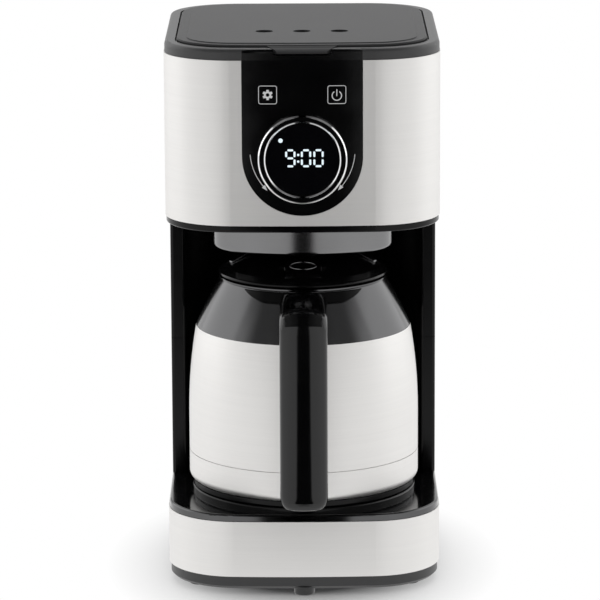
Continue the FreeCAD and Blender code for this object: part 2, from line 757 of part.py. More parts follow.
def make_lid():
    part = body("lid_body")
    bottom = at.ledge_top + 0.2
    border = at.lid_top_face - s.lid_crown
    extrude(part, bottom, border, lid_plan(s.lid_inset, at.lid_back))
    dress(part, "Chamfer", 0.8, flat_at(border))
    extrude(part, border, at.lid_top_face, lid_plan(s.lid_inset + s.lid_border, at.lid_back - s.lid_border))
    dress(part, "Chamfer", s.lid_crown * 0.9, flat_at(at.lid_top_face))
    hollow = lid_plan(s.lid_inset + s.lid_skirt, at.lid_back - s.lid_skirt)
    remove(part, bottom, at.lid_top_face - s.lid_top, hollow)
    row = at.axis - s.vent_advance
    vents = [(x, row, s.vent_radius) for x in (as_size(0), s.vent_pitch, -s.vent_pitch)]
    remove(part, at.lid_top_face - s.lid_top, at.lid_top_face, circles=vents)
    pieces = [part, make_tab()]
    for i, x in enumerate(knuckle_places()):
        z = (at.hinge_height - 1.5, at.hinge_height + 1.5)
        pieces.append(box(f"knuckle_web_{i}", (x, x + s.knuckle_length),
                          (at.lid_back - 1.5, at.hinge_depth), z))
        pieces.append(rod(f"knuckle_{i}", s.hinge_barrel_radius, s.knuckle_length, x, at.hinge_depth,
                          at.hinge_height, "right"))
    bores = [rod(f"knuckle_bore_{i}", s.hinge_pin_radius + s.running_fit, s.knuckle_length, x,
                 at.hinge_depth, at.hinge_height, "right") for i, x in enumerate(knuckle_places())]
    keep("lid", cut("lid", fuse("lid_and_knuckles", *pieces), *bores))


def make_tab():
    """The finger tab at the front of the lid: a wedge that narrows and slopes to the front."""
    start = at.front + s.lid_inset + 1
    top = at.lid_top_face - 0.8
    profile = body("tab_profile")
    low = at.frame_top - 3
    tip = at.front + 0.8
    slope = [(tip, low), (start, low), (start, top), (tip + 4.5, at.frame_top - 0.2, 6),
             (tip, at.frame_top - 2.2)]
    extrude(profile, -s.tab_root_width, s.tab_root_width, slope, plane="YZ_Plane")
    wedge = body("tab_plan")
    shape = [(-s.tab_tip_width / 2, tip), (s.tab_tip_width / 2, tip), (s.tab_root_width / 2, start),
             (-s.tab_root_width / 2, start)]
    extrude(wedge, low - 1, at.lid_top_face, shape)
    return common("lid_tab", profile, wedge)


def make_hinge_pins():
    pins = [rod(f"hinge_pin_{i}", s.hinge_pin_radius, s.knuckle_length + 12.6, x - 6.3, at.hinge_depth,
                at.hinge_height, "right") for i, x in enumerate(knuckle_places())]
    keep("lid_hinge_pins", group("lid_hinge_pins", *pins))


# Controls

def make_dial():
    base = at.front - 0.1
    face = base - s.dial_height
    bore = s.dial_bore + s.running_fit
    sleeve = s.dial_bore + 1.5
    outer = s.dial_radius - s.dial_trim
    inner = s.dial_bore + s.dial_trim
    clip = at.front + s.band_sheet + s.band_clearance + s.shell_wall + 1.0
    ring = [(bore, clip + 1.6), (bore, face + 1.2), (inner, face + 1.2), (inner, face), (outer, face),
            (outer, base), (sleeve, base), (sleeve, clip + 1.6)]
    keep("selector_ring", turn_forward("selector_ring", ring))
    trim = [(outer, base), (outer, face), (outer + 0.3, face - 0.3), (s.dial_radius, face + 0.6),
            (s.dial_radius, base)]
    keep("selector_outer_trim", turn_forward("selector_outer_trim", trim))
    lip = [(bore, face + 1.2), (bore, face + 0.4), (inner - 0.3, face - 0.3), (inner, face),
           (inner, face + 1.2)]
    keep("selector_inner_trim", turn_forward("selector_inner_trim", lip))
    keep("selector_clip", turn_forward("selector_clip", rectangle(sleeve, sleeve + 3, clip, clip + 1.6)))
    hub_face = face + 0.6
    hub = [(s.dial_bore - s.hub_wall, hub_face), (s.dial_bore, hub_face), (s.dial_bore, at.board_face),
           (s.dial_bore - 3, at.board_face), (s.dial_bore - 3, hub_face + 2),
           (s.dial_bore - s.hub_wall, hub_face + 2)]
    keep("display_hub", turn_forward("display_hub", hub))
    window = rectangle(0, s.dial_bore - s.hub_wall, hub_face + 0.3, hub_face + 2)
    keep("display_window", turn_forward("display_window", window))
    board = rectangle(0, s.dial_bore - 3.1, at.board_face - 8, at.board_face)
    keep("display_board", turn_forward("display_board", board))


def make_control_board():
    low = at.dial_centre - 35
    high = at.frame_bottom - 5
    board = box("control_board_sheet", (-36, 36), (at.board_face, at.board_back), (low, high))
    holes = [rod(f"control_board_hole_{i}", s.screw_radius + 0.1, 8, x, at.board_back + 2, z, "forward")
             for i, (x, z) in enumerate(board_screw_places())]
    keep("control_board", cut("control_board", board, *holes))
    screws = []
    for i, (x, z) in enumerate(board_screw_places()):
        head = rod(f"board_screw_head_{i}", s.screw_radius * 2, 1.6, x, at.board_back + 1.6, z, "forward")
        shank = rod(f"board_screw_shank_{i}", s.screw_radius, 7.6, x, at.board_back, z, "forward")
        screws.append(fuse(f"board_screw_{i}", head, shank))
    keep("board_screws", group("board_screws", *screws))
    gap = at.front + s.panel_thickness + 1.2
    pads = [rod(f"touch_pad_{i}", s.pad_radius, at.board_face - gap, x, at.board_face, z, "forward")
            for i, (x, z) in enumerate(key_places())]
    keep("touch_pads", group("touch_pads", *pads))


# Filter

def make_filter():
    housing = body("filter_housing_body")
    floor_top = at.filter_bottom + s.filter_wall
    extrude(housing, at.filter_bottom, at.head_bottom, filter_plan(as_size(0)))
    dress(housing, "Fillet", 3, flat_at(at.filter_bottom))
    remove(housing, floor_top, at.head_bottom, filter_plan(s.filter_wall))
    remove(housing, at.filter_bottom, floor_top, circles=[(0, at.axis, 8.5)])
    keep("filter_housing", housing)
    low = at.head_bottom + s.shell_wall
    inner = s.basket_rim_radius + 1.5
    well = rectangle(inner, inner + s.well_wall, low, at.basket_top - 2)
    keep("filter_well", turn_upright("filter_well", well))
    make_basket(floor_top)
    make_drip_valve()


def make_basket(foot):
    """A bucket with a drip hole, a foot ring, a hanging rim and a slotted cage over the valve."""
    low = at.basket_floor
    top = at.basket_top
    wide = s.basket_rim_radius
    narrow = s.basket_foot_radius
    path = [(3.4, low), (narrow - 2, low), (narrow - 2, foot), (narrow, foot), (wide, top - 2),
            (wide + 3.5, top - 2), (wide + 3.5, top), (wide - 2, top), (narrow - 2, low + 2), (12.5, low + 2),
            (12.5, low + 17), (3.4, low + 17), (3.4, low + 15.4), (10.9, low + 15.4), (10.9, low + 2),
            (3.4, low + 2)]
    bucket = turn_upright("basket_bucket", path)
    slots = [box("cage_slot_0", (-14, 14), (at.axis - 4, at.axis + 4), (low + 2, low + 12)),
             box("cage_slot_1", (-4, 4), (at.axis - 14, at.axis + 14), (low + 2, low + 12))]
    keep("filter_basket", cut("filter_basket", bucket, *slots))


def make_drip_valve():
    tip = at.valve_tip
    seal = at.basket_floor + 2.1
    path = [(0, tip), (6.5, tip), (7, tip + 0.5), (7, tip + 2.4), (3, tip + 2.4), (3, seal + 2.4),
            (2.4, seal + 2.4), (2.4, seal + 8), (0, seal + 8)]
    keep("drip_valve", turn_upright("drip_valve", path))
    ring = [(3.05, seal), (8.5, seal), (8.5, seal + 1.4), (3.05, seal + 1.4)]
    keep("drip_seal", turn_upright("drip_seal", ring))
    keep("drip_spring", coil("drip_spring", 5.2, 0.45, seal + 1.45, at.basket_floor + 15.35, 5))


# Water

def make_tank():
    tank = body("tank_box")
    extrude(tank, at.tank_bottom, at.tank_top, tank_plan(as_size(0)))
    remove(tank, at.tank_bottom + s.tank_wall, at.tank_top, tank_plan(s.tank_wall))
    stub = at.tank_bottom - 16
    extrude(tank, stub, at.tank_bottom, circles=[(-30, at.outlet_depth, s.outlet_radius)])
    remove(tank, stub, at.tank_bottom + s.tank_wall, circles=[(-30, at.outlet_depth, s.outlet_radius - 2)])
    keep("water_tank", tank)


def make_cold_side():
    top = at.tank_bottom - 5
    bore = s.outlet_radius
    path = [(3, top - 36), (s.nipple_radius, top - 36), (s.nipple_radius, top - 26), (bore + 2.5, top - 26),
            (bore + 2.5, top), (bore, top), (bore, top - 11), (3, top - 11), (3, top - 12.5),
            (4.8, top - 12.5), (4.8, top - 23), (3, top - 24.5)]
    keep("check_valve", turn("check_valve", path, x=-30, y=at.outlet_depth))
    end = at.heater_back + 2
    points = [(-30, at.outlet_depth, top - 26.2), (-30, at.outlet_depth, at.heater_axis),
              (-s.heater_half_pitch, end, at.heater_axis)]
    keep("cold_hose", hose("cold_hose", points, 16.0, s.nipple_radius, s.hose_wall))


def make_heater():
    """A cast U bar with a water way, two nipples at the back and the heating rod's terminals."""
    wide = s.heater_half_pitch + s.heater_width / 2
    narrow = s.heater_half_pitch - s.heater_width / 2
    bend = at.heater_back - s.heater_leg
    plan_path = [(wide, bend), (wide, at.heater_back), (narrow, at.heater_back), (narrow, bend, -narrow),
                 (0, bend - narrow, -narrow), (-narrow, bend), (-narrow, at.heater_back),
                 (-wide, at.heater_back), (-wide, bend, wide), (0, bend - wide, wide)]
    bar = body("heater_bar")
    extrude(bar, at.heater_bottom, at.heater_top, plan_path)
    nipples = []
    bores = []
    for i, x in enumerate((s.heater_half_pitch, -s.heater_half_pitch)):
        nipples.append(rod(f"heater_nipple_{i}", s.nipple_radius, 13, x, at.heater_back - 2,
                           at.heater_axis, "back"))
        bores.append(rod(f"heater_bore_{i}", 3.2, s.heater_leg + 16, x, bend, at.heater_axis, "back"))
    keep("flow_heater", cut("flow_heater", fuse("heater_and_nipples", bar, *nipples), *bores))
    tabs = [box(f"heater_tab_{i}", (x - 0.4, x + 0.4), (at.heater_back, at.heater_back + 9),
                (at.heater_top - 4, at.heater_top - 1)) for i, x in enumerate((wide - 3, 3 - wide))]
    keep("heater_terminals", group("heater_terminals", *tabs))
    strap_x = strap_places()[0][0]
    y = at.axis + 30
    plate = box("strap_plate", (-strap_x - 6, strap_x + 6), (y - 8, y + 8),
                (at.heater_bottom - 1.5, at.heater_bottom))
    holes = [rod(f"strap_hole_{i}", s.screw_radius + 0.1, 6, x, depth, at.heater_bottom - 4)
             for i, (x, depth) in enumerate(strap_places())]
    keep("heater_strap", cut("heater_strap", plate, *holes))
    make_screws("strap_screws", strap_places(), 1.6, 9, at.heater_bottom, flip=True)
    front = bend - s.heater_half_pitch
    keep("thermostat", rod("thermostat", 7.5, 6, 0, front, at.heater_top))
    fuse_x = -s.heater_half_pitch
    keep("thermal_fuse", box("thermal_fuse", (fuse_x - 3, fuse_x + 3), (at.axis + 20, at.axis + 34),
                             (at.heater_top, at.heater_top + 4.5)))


def make_riser():
    start = at.heater_back + 2
    height = at.shower_height + 3
    reach = math.hypot(at.riser_side.value, (at.riser_depth - at.axis).value)
    toward = [at.riser_side.value / reach, (at.riser_depth - at.axis).value / reach]
    gap = s.shower_radius.value - 4
    points = [(s.heater_half_pitch, start, at.heater_axis),
              (s.heater_half_pitch, at.riser_depth, at.heater_axis),
              (at.riser_side, at.riser_depth, at.heater_axis), (at.riser_side, at.riser_depth, height),
              (toward[0] * (gap + 8), at.axis + toward[1] * (gap + 8), height)]
    keep("riser_hose", hose("riser_hose", points, 12.0, s.nipple_radius, s.hose_wall))
    make_shower(toward, gap, height)


def make_shower(toward, gap, height):
    """The shower head: a hollow drum with a drip plate, fed from the side and hung on three ribs."""
    low = at.shower_height - 8
    top = at.shower_height + 11
    radius = s.shower_radius
    path = [(0, low), (radius, low), (radius, top), (radius - 2, top), (radius - 2, low + 2), (0, low + 2)]
    drum = turn_upright("shower_drum", path)
    angle = math.degrees(math.atan2(toward[1], toward[0]))
    nipple = doc.addObject("Part::Cylinder", "shower_nipple")
    nipple.setExpression("Radius", s.nipple_radius.text)
    nipple.Height = 24
    spin = Rotation(Vector(0, 0, 1), angle).multiply(Rotation(Vector(0, 1, 0), 90))

    def along(reach):
        return Vector(toward[0] * reach, at.axis.value + toward[1] * reach, height.value)
    nipple.Placement = Placement(along(gap), spin)
    bore = doc.addObject("Part::Cylinder", "shower_bore")
    bore.Radius = 3.2
    bore.Height = 40
    bore.Placement = Placement(along(gap - 12), spin)
    holes = [rod(f"shower_hole_{i}", 1.6, 6, radius * (0.62 * math.cos(i * math.pi / 4)),
                 at.axis + radius * (0.62 * math.sin(i * math.pi / 4)), low - 2) for i in range(8)]
    arms = []
    for i, degrees in enumerate((170, 290, 10)):
        arm = doc.addObject("Part::Box", f"shower_arm_{i}")
        arm.Length = s.basket_rim_radius.value + 3.4 - radius.value + 1
        arm.Width = 4
        arm.Height = 3
        turned = Rotation(Vector(0, 0, 1), degrees)
        start = turned.multVec(Vector(radius.value - 1, -2, 0))
        arm.Placement = Placement(Vector(start.x, start.y + at.axis.value, low.value + 4), turned)
        leg = doc.addObject("Part::Box", f"shower_leg_{i}")
        leg.Length = 2.5
        leg.Width = 4
        leg.Height = low.value + 4 - at.basket_top.value + 1
        foot = turned.multVec(Vector(s.basket_rim_radius.value + 0.9, -2, 0))
        leg.Placement = Placement(Vector(foot.x, foot.y + at.axis.value, at.basket_top.value), turned)
        arms += [arm, leg]
    keep("shower_head", cut("shower_head", fuse("shower_body", drum, nipple, *arms), bore, *holes))


# Electrics in the base

def make_power_board():
    low = at.cover_floor_top + 5
    board = box("power_board", (-17, 17), (at.axis - 4, at.axis + 64), (low, low + s.board_sheet))
    keep("power_board", board)
    top = low + s.board_sheet
    keep("relay", box("relay", (-13, 3), (at.axis + 42, at.axis + 60), (top, top + 15)))


# Carafe

def collar_face(extra):
    """The cone of the collar, moved outward by an amount: its foot and its top as (radius, height)."""
    return [(at.shoulder_radius + extra, at.shell_top), (s.collar_rim_radius + extra, at.collar_top - 1.6)]


def shell_radius():
    """The bend of the steel shell between its straight wall and the collar."""
    drop = s.carafe_radius - at.shoulder_radius
    return (s.shell_curve_height * s.shell_curve_height + drop * drop) / (drop * 2)


def make_carafe_steel():
    foot = s.carafe_radius - s.carafe_foot_inset
    path = [(0, at.carafe_bottom), (foot - 1.2, at.carafe_bottom, 1.2), (foot, at.carafe_bottom + 1.2),
            (foot, at.cup_bottom), (0, at.cup_bottom)]
    keep("carafe_foot", turn_upright("carafe_foot", path))
    r = s.carafe_radius
    t = s.carafe_sheet
    bend = s.cup_corner
    lip = r - t - 0.1
    cup = [(0, at.cup_bottom), (r - bend, at.cup_bottom, bend), (r, at.cup_bottom + bend),
           (r, at.cup_top - 0.4), (lip, at.cup_top - 0.4), (lip, at.cup_top + 4), (lip - t, at.cup_top + 4),
           (lip - t, at.cup_bottom + bend, t - bend), (r - bend, at.cup_bottom + t), (0, at.cup_bottom + t)]
    keep("carafe_cup", turn_upright("carafe_cup", cup))
    big = shell_radius()
    shell = [(r - t, at.cup_top), (r, at.cup_top), (r, at.shell_bend, big),
             (at.shoulder_radius, at.shell_top), (at.shoulder_radius - t, at.shell_top, t - big),
             (r - t, at.shell_bend)]
    keep("carafe_shell", turn_upright("carafe_shell", shell))
    make_liner(t)


def make_liner(t):
    wide = at.liner_radius
    neck = s.mouth_radius
    floor = at.cup_bottom + t + 3
    bend = 8
    low = at.shell_bend + s.shell_curve_height - 12
    high = at.collar_top - 15
    path = [(0, floor), (wide - bend, floor, bend), (wide, floor + bend), (wide, low), (neck + t, high),
            (neck + t, at.collar_top), (neck, at.collar_top), (neck, high - 0.4), (wide - t, low - 0.4),
            (wide - t, floor + bend, t - bend), (wide - bend, floor + t), (0, floor + t)]
    keep("carafe_liner", turn_upright("carafe_liner", path))
    keep("liner_stop", turn_upright("liner_stop", rectangle(0, 12, at.cup_bottom + t, floor)))


def make_collar():
    foot, top = collar_face(as_size(0))
    in_foot, in_top = collar_face(-s.collar_wall)
    lip = at.shoulder_radius - s.carafe_sheet - 0.1
    dome = 330.0
    neck = at.neck_outer + s.running_fit
    path = [foot + (dome,), top, (top[0] + 0.9, at.collar_top - 0.9), (top[0] + 0.9, at.collar_top),
            (neck, at.collar_top), (neck, at.collar_top - 5), (in_top[0], at.collar_top - 5),
            (in_foot[0] - 0.4, at.shell_top + 1), (lip - 2, at.shell_top - 5), (lip, at.shell_top - 5),
            (lip, at.shell_top)]
    collar = turn_upright("collar_turned", path)
    screw_y = at.axis - at.neck_outer
    z = handle_screw_height()
    boss = rod("collar_boss", 5, 7, 0, screw_y - 4, z, "forward")
    outer = turn_upright("collar_limit", saddle_ring(as_size(0.0), as_size(-12)))
    trimmed = common("collar_boss_trimmed", boss, outer)
    hole = rod("collar_hole", s.screw_radius + 0.1, 30, 0, screw_y + 2, z, "forward")
    keep("carafe_collar", cut("carafe_collar", fuse("collar_and_boss", collar, trimmed), hole))


def handle_screw_height():
    return at.collar_top - 8.5


def saddle_ring(outer, inner):
    """A band round the collar between two offsets from its face."""
    low = at.collar_top - s.saddle_depth
    high = at.collar_top - 1.8
    rise = at.collar_top - 1.6 - at.shell_top
    lean = (at.shoulder_radius - s.collar_rim_radius) / rise
    bulge = 1.15

    def face(z, extra):
        return s.collar_rim_radius + (at.collar_top - 1.6 - z) * lean + bulge + extra
    return [(face(low, inner), low), (face(low, outer), low), (face(high, outer), high),
            (face(high, inner), high)]


def make_handle():
    band = turn_upright("saddle_band", saddle_ring(s.saddle_thickness, as_size(0.1)))
    wing = body("saddle_wing")
    grip = s.handle_width / 2
    half = s.saddle_half_width
    low = at.collar_top - s.saddle_depth
    high = at.collar_top
    under = high - s.saddle_wing
    across = s.saddle_round
    rise = s.saddle_wing - 1
    bend = (across * across + rise * rise) / (rise * 2)
    path = [(-grip, low - 1), (grip, low - 1), (grip, under), (half - across, under, bend), (half, high - 1),
            (half, high), (-half, high), (-half, high - 1, bend), (across - half, under), (-grip, under)]
    extrude(wing, -at.axis, -at.axis + 90, path, plane="XZ_Plane")
    z = handle_screw_height()
    hole = rod("saddle_hole", s.screw_radius + 0.1, 60, 0, at.axis - 30, z, "forward")
    keep("handle_saddle", cut("handle_saddle", common("saddle_patch", band, wing), hole))
    make_grip(z)


def make_grip(z):
    """The grip: a side profile pulled across, edges rounded, its root shaped to the saddle."""
    top = at.collar_top - 0.2
    outer = at.handle_front
    inner = outer + s.handle_depth
    low = at.carafe_bottom + s.handle_tail_gap
    bend = s.handle_bend
    small = bend - 10
    under = top - s.handle_root
    end = at.axis - 40
    tail = s.handle_depth / 2
    path = [(end, top), (outer + bend, top, bend), (outer, top - bend), (outer, low + tail, tail),
            (outer + tail, low, tail), (inner, low + tail), (inner, under - small, -small),
            (inner + small, under), (end, under)]
    grip = body("grip_body")
    extrude(grip, -s.handle_width / 2, s.handle_width / 2, path, plane="YZ_Plane")
    dress(grip, "Fillet", s.handle_edge, grip_edges)
    gap = 0.05
    root_cut = turn_upright("grip_root", saddle_ring(s.saddle_thickness + gap, as_size(-40)))
    low_cut = at.collar_top - s.saddle_depth
    lower_cut = turn_upright("grip_root_low", rectangle(0, 64.5, low_cut - 12, low_cut))
    rim = s.collar_rim_radius + 4.2
    upper_cut = turn_upright("grip_root_high", rectangle(0, rim, at.collar_top - 1.8, at.collar_top + 3))
    hole = rod("grip_hole", s.screw_radius, 40, 0, at.axis - 50, z, "forward")
    keep("carafe_handle", cut("carafe_handle", grip, root_cut, lower_cut, upper_cut, hole))
    head = rod("handle_screw_head", s.screw_radius * 2, 2, 0, at.axis - at.neck_outer - 2, z, "forward")
    shank = rod("handle_screw_shank", s.screw_radius, 36, 0, at.axis - at.neck_outer - 4, z, "forward")
    keep("handle_screw", fuse("handle_screw", head, shank))


def grip_edges(edge):
    """The long edges of the grip on its two flat sides."""
    half = s.handle_width.value / 2
    on_side = edge.BoundBox.XLength < 1e-4 and abs(abs(edge.BoundBox.XMin) - half) < 1e-4
    return on_side and edge.BoundBox.YMax < at.axis.value - 40.5


def lid_face(radius, extra):
    """The height of the lid's sloping top at a radius."""
    fall = (at.carafe_top - at.brim_top - 2.6) / (s.brim_radius - 5 - s.lid_flat_radius)
    return at.carafe_top + extra - (radius - s.lid_flat_radius) * fall


def make_carafe_lid():
    rim = s.brim_radius
    plug = at.plug_radius
    low = at.plug_bottom
    hollow = plug - s.plug_wall
    wall = s.carafe_lid_wall
    path = [(9, low), (plug, low), (plug, at.brim_bottom), (rim - 1.2, at.brim_bottom),
            (rim, at.brim_bottom + 1.2), (rim, at.brim_top - 1.2, 1.2), (rim - 1.2, at.brim_top),
            (rim - 5, at.brim_top + 2.6), (s.lid_flat_radius, at.carafe_top), (4, at.carafe_top),
            (4, at.carafe_top - wall), (s.lid_flat_radius, at.carafe_top - wall),
            (hollow, lid_face(hollow, -wall)), (hollow, low + 2.5), (9, low + 2.5)]
    cup = turn_upright("lid_cup", path)
    bridge = box("lid_bridge", (-hollow - 0.5, hollow + 0.5), (at.axis - 5, at.axis + 5),
                 (low + 19, low + 21))
    edge = s.lever_width / 2 + s.lever_play
    y = at.axis - at.lever_radius
    z = at.lever_height
    lugs = [box(f"lever_lug_{i}", x, (y - 3, y + 3), (z - 3, z + 2))
            for i, x in enumerate(((edge, edge + 3), (-edge - 3, -edge)))]
    slot = box("lever_slot", (-edge, edge), (y - 15, y + 7), (at.brim_top - 0.4, at.carafe_top))
    pins = rod("lever_pin_hole", 1.25, s.lever_width + 8, -s.lever_width / 2 - 4, y, z, "right")
    stem = rod("bridge_hole", 2.5, 10, 0, at.axis, low + 16)
    shaped = fuse("lid_with_lugs", cup, bridge, *lugs)
    keep("carafe_lid", cut("carafe_lid", shaped, slot, pins, stem))
    keep("lid_seal", turn_upright("lid_seal", rectangle(plug, plug + 0.7, low + 5, low + 8)))
    keep("lever_pin", rod("lever_pin", 1.25, s.lever_width + 6, -s.lever_width / 2 - 3, y, z, "right"))
    make_lever(y, z)
    make_pour_valve(low)


def make_lever(y, z):
    """The thumb lever: a sloping pad in the lid's slot with a fork that reaches to the pour valve."""
    pad_profile = body("lever_pad")
    outer = y - 14
    inner = y + 5
    top_out = lid_face(at.axis - outer, as_size(1.6))
    top_in = lid_face(at.axis - inner, as_size(1.2))
    path = [(outer, top_out - 2.6), (y, z - 2.4), (inner, z - 1), (inner, top_in - 1.5, 2),
            (inner - 2, top_in), (outer + 2, top_out + 0.6, 2.6), (outer, top_out - 1)]
    extrude(pad_profile, -s.lever_width / 2, s.lever_width / 2, path, plane="YZ_Plane")
    prongs = [box(f"lever_prong_{i}", x, (inner - 4, at.axis + 3), (z - 1.6, z + 0.4))
              for i, x in enumerate(((2.8, 5), (-5, -2.8)))]
    hole = rod("lever_hole", 1.25 + s.running_fit, s.lever_width + 2, -s.lever_width / 2 - 1, y, z, "right")
    keep("pour_lever", cut("pour_lever", fuse("lever_body", pad_profile, *prongs), hole))


def make_pour_valve(low):
    seat = low + 2.6
    head = at.lever_height + 1.0
    path = [(0, seat), (11, seat), (11, seat + 2), (2, seat + 2), (2, head), (6, head), (6, head + 1.3),
            (0, head + 1.3)]
    keep("pour_valve", turn_upright("pour_valve", path))
    keep("pour_spring", coil("pour_spring", 4.4, 0.45, seat + 2.05, low + 18.95, 5))


def build():
    make_bottom_cover()
    make_feet()
    make_screws("cover_screws", cover_screw_places(), 1.6, 14, s.foot_gap + 0.2)
    make_base_shell()
    make_bands()
    make_seat()
    make_gland()
    make_columns()
    make_head_shell()
    make_panel()
    make_frame()
    make_lid()
    make_hinge_pins()
    make_dial()
    make_control_board()
    make_filter()
    make_tank()
    make_cold_side()
    make_heater()
    make_riser()
    make_power_board()
    make_carafe_steel()
    make_collar()
    make_handle()
    make_carafe_lid()


def write_steps():
    doc.recompute()
    bad = [item.Name for item in doc.Objects if {"Invalid", "Error"} & set(item.State)]
    if bad:
        raise RuntimeError("not solved: " + ", ".join(bad))
    for name, item in nodes.items():
        if item.Shape.isNull() or not item.Shape.isValid() or not item.Shape.Solids:
            raise RuntimeError(f"{name} is not a sound solid")
        item.Shape.exportStep(f"parts/{name}.step")


build()
write_steps()
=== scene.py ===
import math

import bmesh
import bpy
from bpy.props import FloatProperty, FloatVectorProperty, PointerProperty
from mathutils import Matrix, Quaternion, Vector


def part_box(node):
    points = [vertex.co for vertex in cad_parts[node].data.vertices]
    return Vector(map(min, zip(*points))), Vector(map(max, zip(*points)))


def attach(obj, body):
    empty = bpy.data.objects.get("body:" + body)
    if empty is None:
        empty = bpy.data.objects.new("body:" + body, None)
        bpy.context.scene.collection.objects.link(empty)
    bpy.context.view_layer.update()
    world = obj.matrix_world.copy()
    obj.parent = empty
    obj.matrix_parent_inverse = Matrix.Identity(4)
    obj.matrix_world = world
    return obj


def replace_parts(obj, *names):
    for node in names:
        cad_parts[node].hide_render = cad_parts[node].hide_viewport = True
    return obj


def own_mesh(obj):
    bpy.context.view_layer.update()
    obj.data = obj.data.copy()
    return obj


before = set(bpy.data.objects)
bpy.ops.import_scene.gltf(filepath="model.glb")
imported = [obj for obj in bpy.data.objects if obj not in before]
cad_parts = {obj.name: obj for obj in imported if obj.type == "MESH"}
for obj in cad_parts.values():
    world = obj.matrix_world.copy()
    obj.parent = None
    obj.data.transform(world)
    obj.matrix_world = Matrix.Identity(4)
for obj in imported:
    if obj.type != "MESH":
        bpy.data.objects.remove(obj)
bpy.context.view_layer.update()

bl_info = {
    "name": "Drip coffee maker",
    "version": (1, 0, 0),
    "blender": (4, 5, 0),
    "location": "3D View > Sidebar > Coffee maker",
    "description": "Finishes, prints and studio for a drip coffee maker with a steel carafe",
    "category": "Object",
}

MM = 0.001


# Places read from the frame

def middle(node):
    low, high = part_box(node)
    return (low + high) / 2


AXIS = middle("carafe_shell")
DIAL = middle("selector_ring")
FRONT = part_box("head_band")[0].y
PANEL_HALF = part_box("control_panel")[1].x
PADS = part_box("touch_pads")
PAD_RADIUS = (PADS[1].z - PADS[0].z) / 2
STRIP_DROP = 0.4 * MM
STRIP = (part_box("base_band")[1].z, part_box("base_shell")[1].z - STRIP_DROP)


# Settings that a user would change

def length(name, description, millimetres):
    return FloatProperty(name=name, description=description, default=millimetres * MM, unit="LENGTH",
                         subtype="DISTANCE", precision=5)


def angle(name, description, degrees):
    return FloatProperty(name=name, description=description, default=math.radians(degrees),
                         unit="ROTATION", subtype="ANGLE")


def amount(name, description, default, unit="NONE"):
    return FloatProperty(name=name, description=description, default=default, unit=unit)


def colour(name, description, default):
    return FloatVectorProperty(name=name, description=description, default=default, subtype="COLOR",
                               min=0.0, max=1.0)


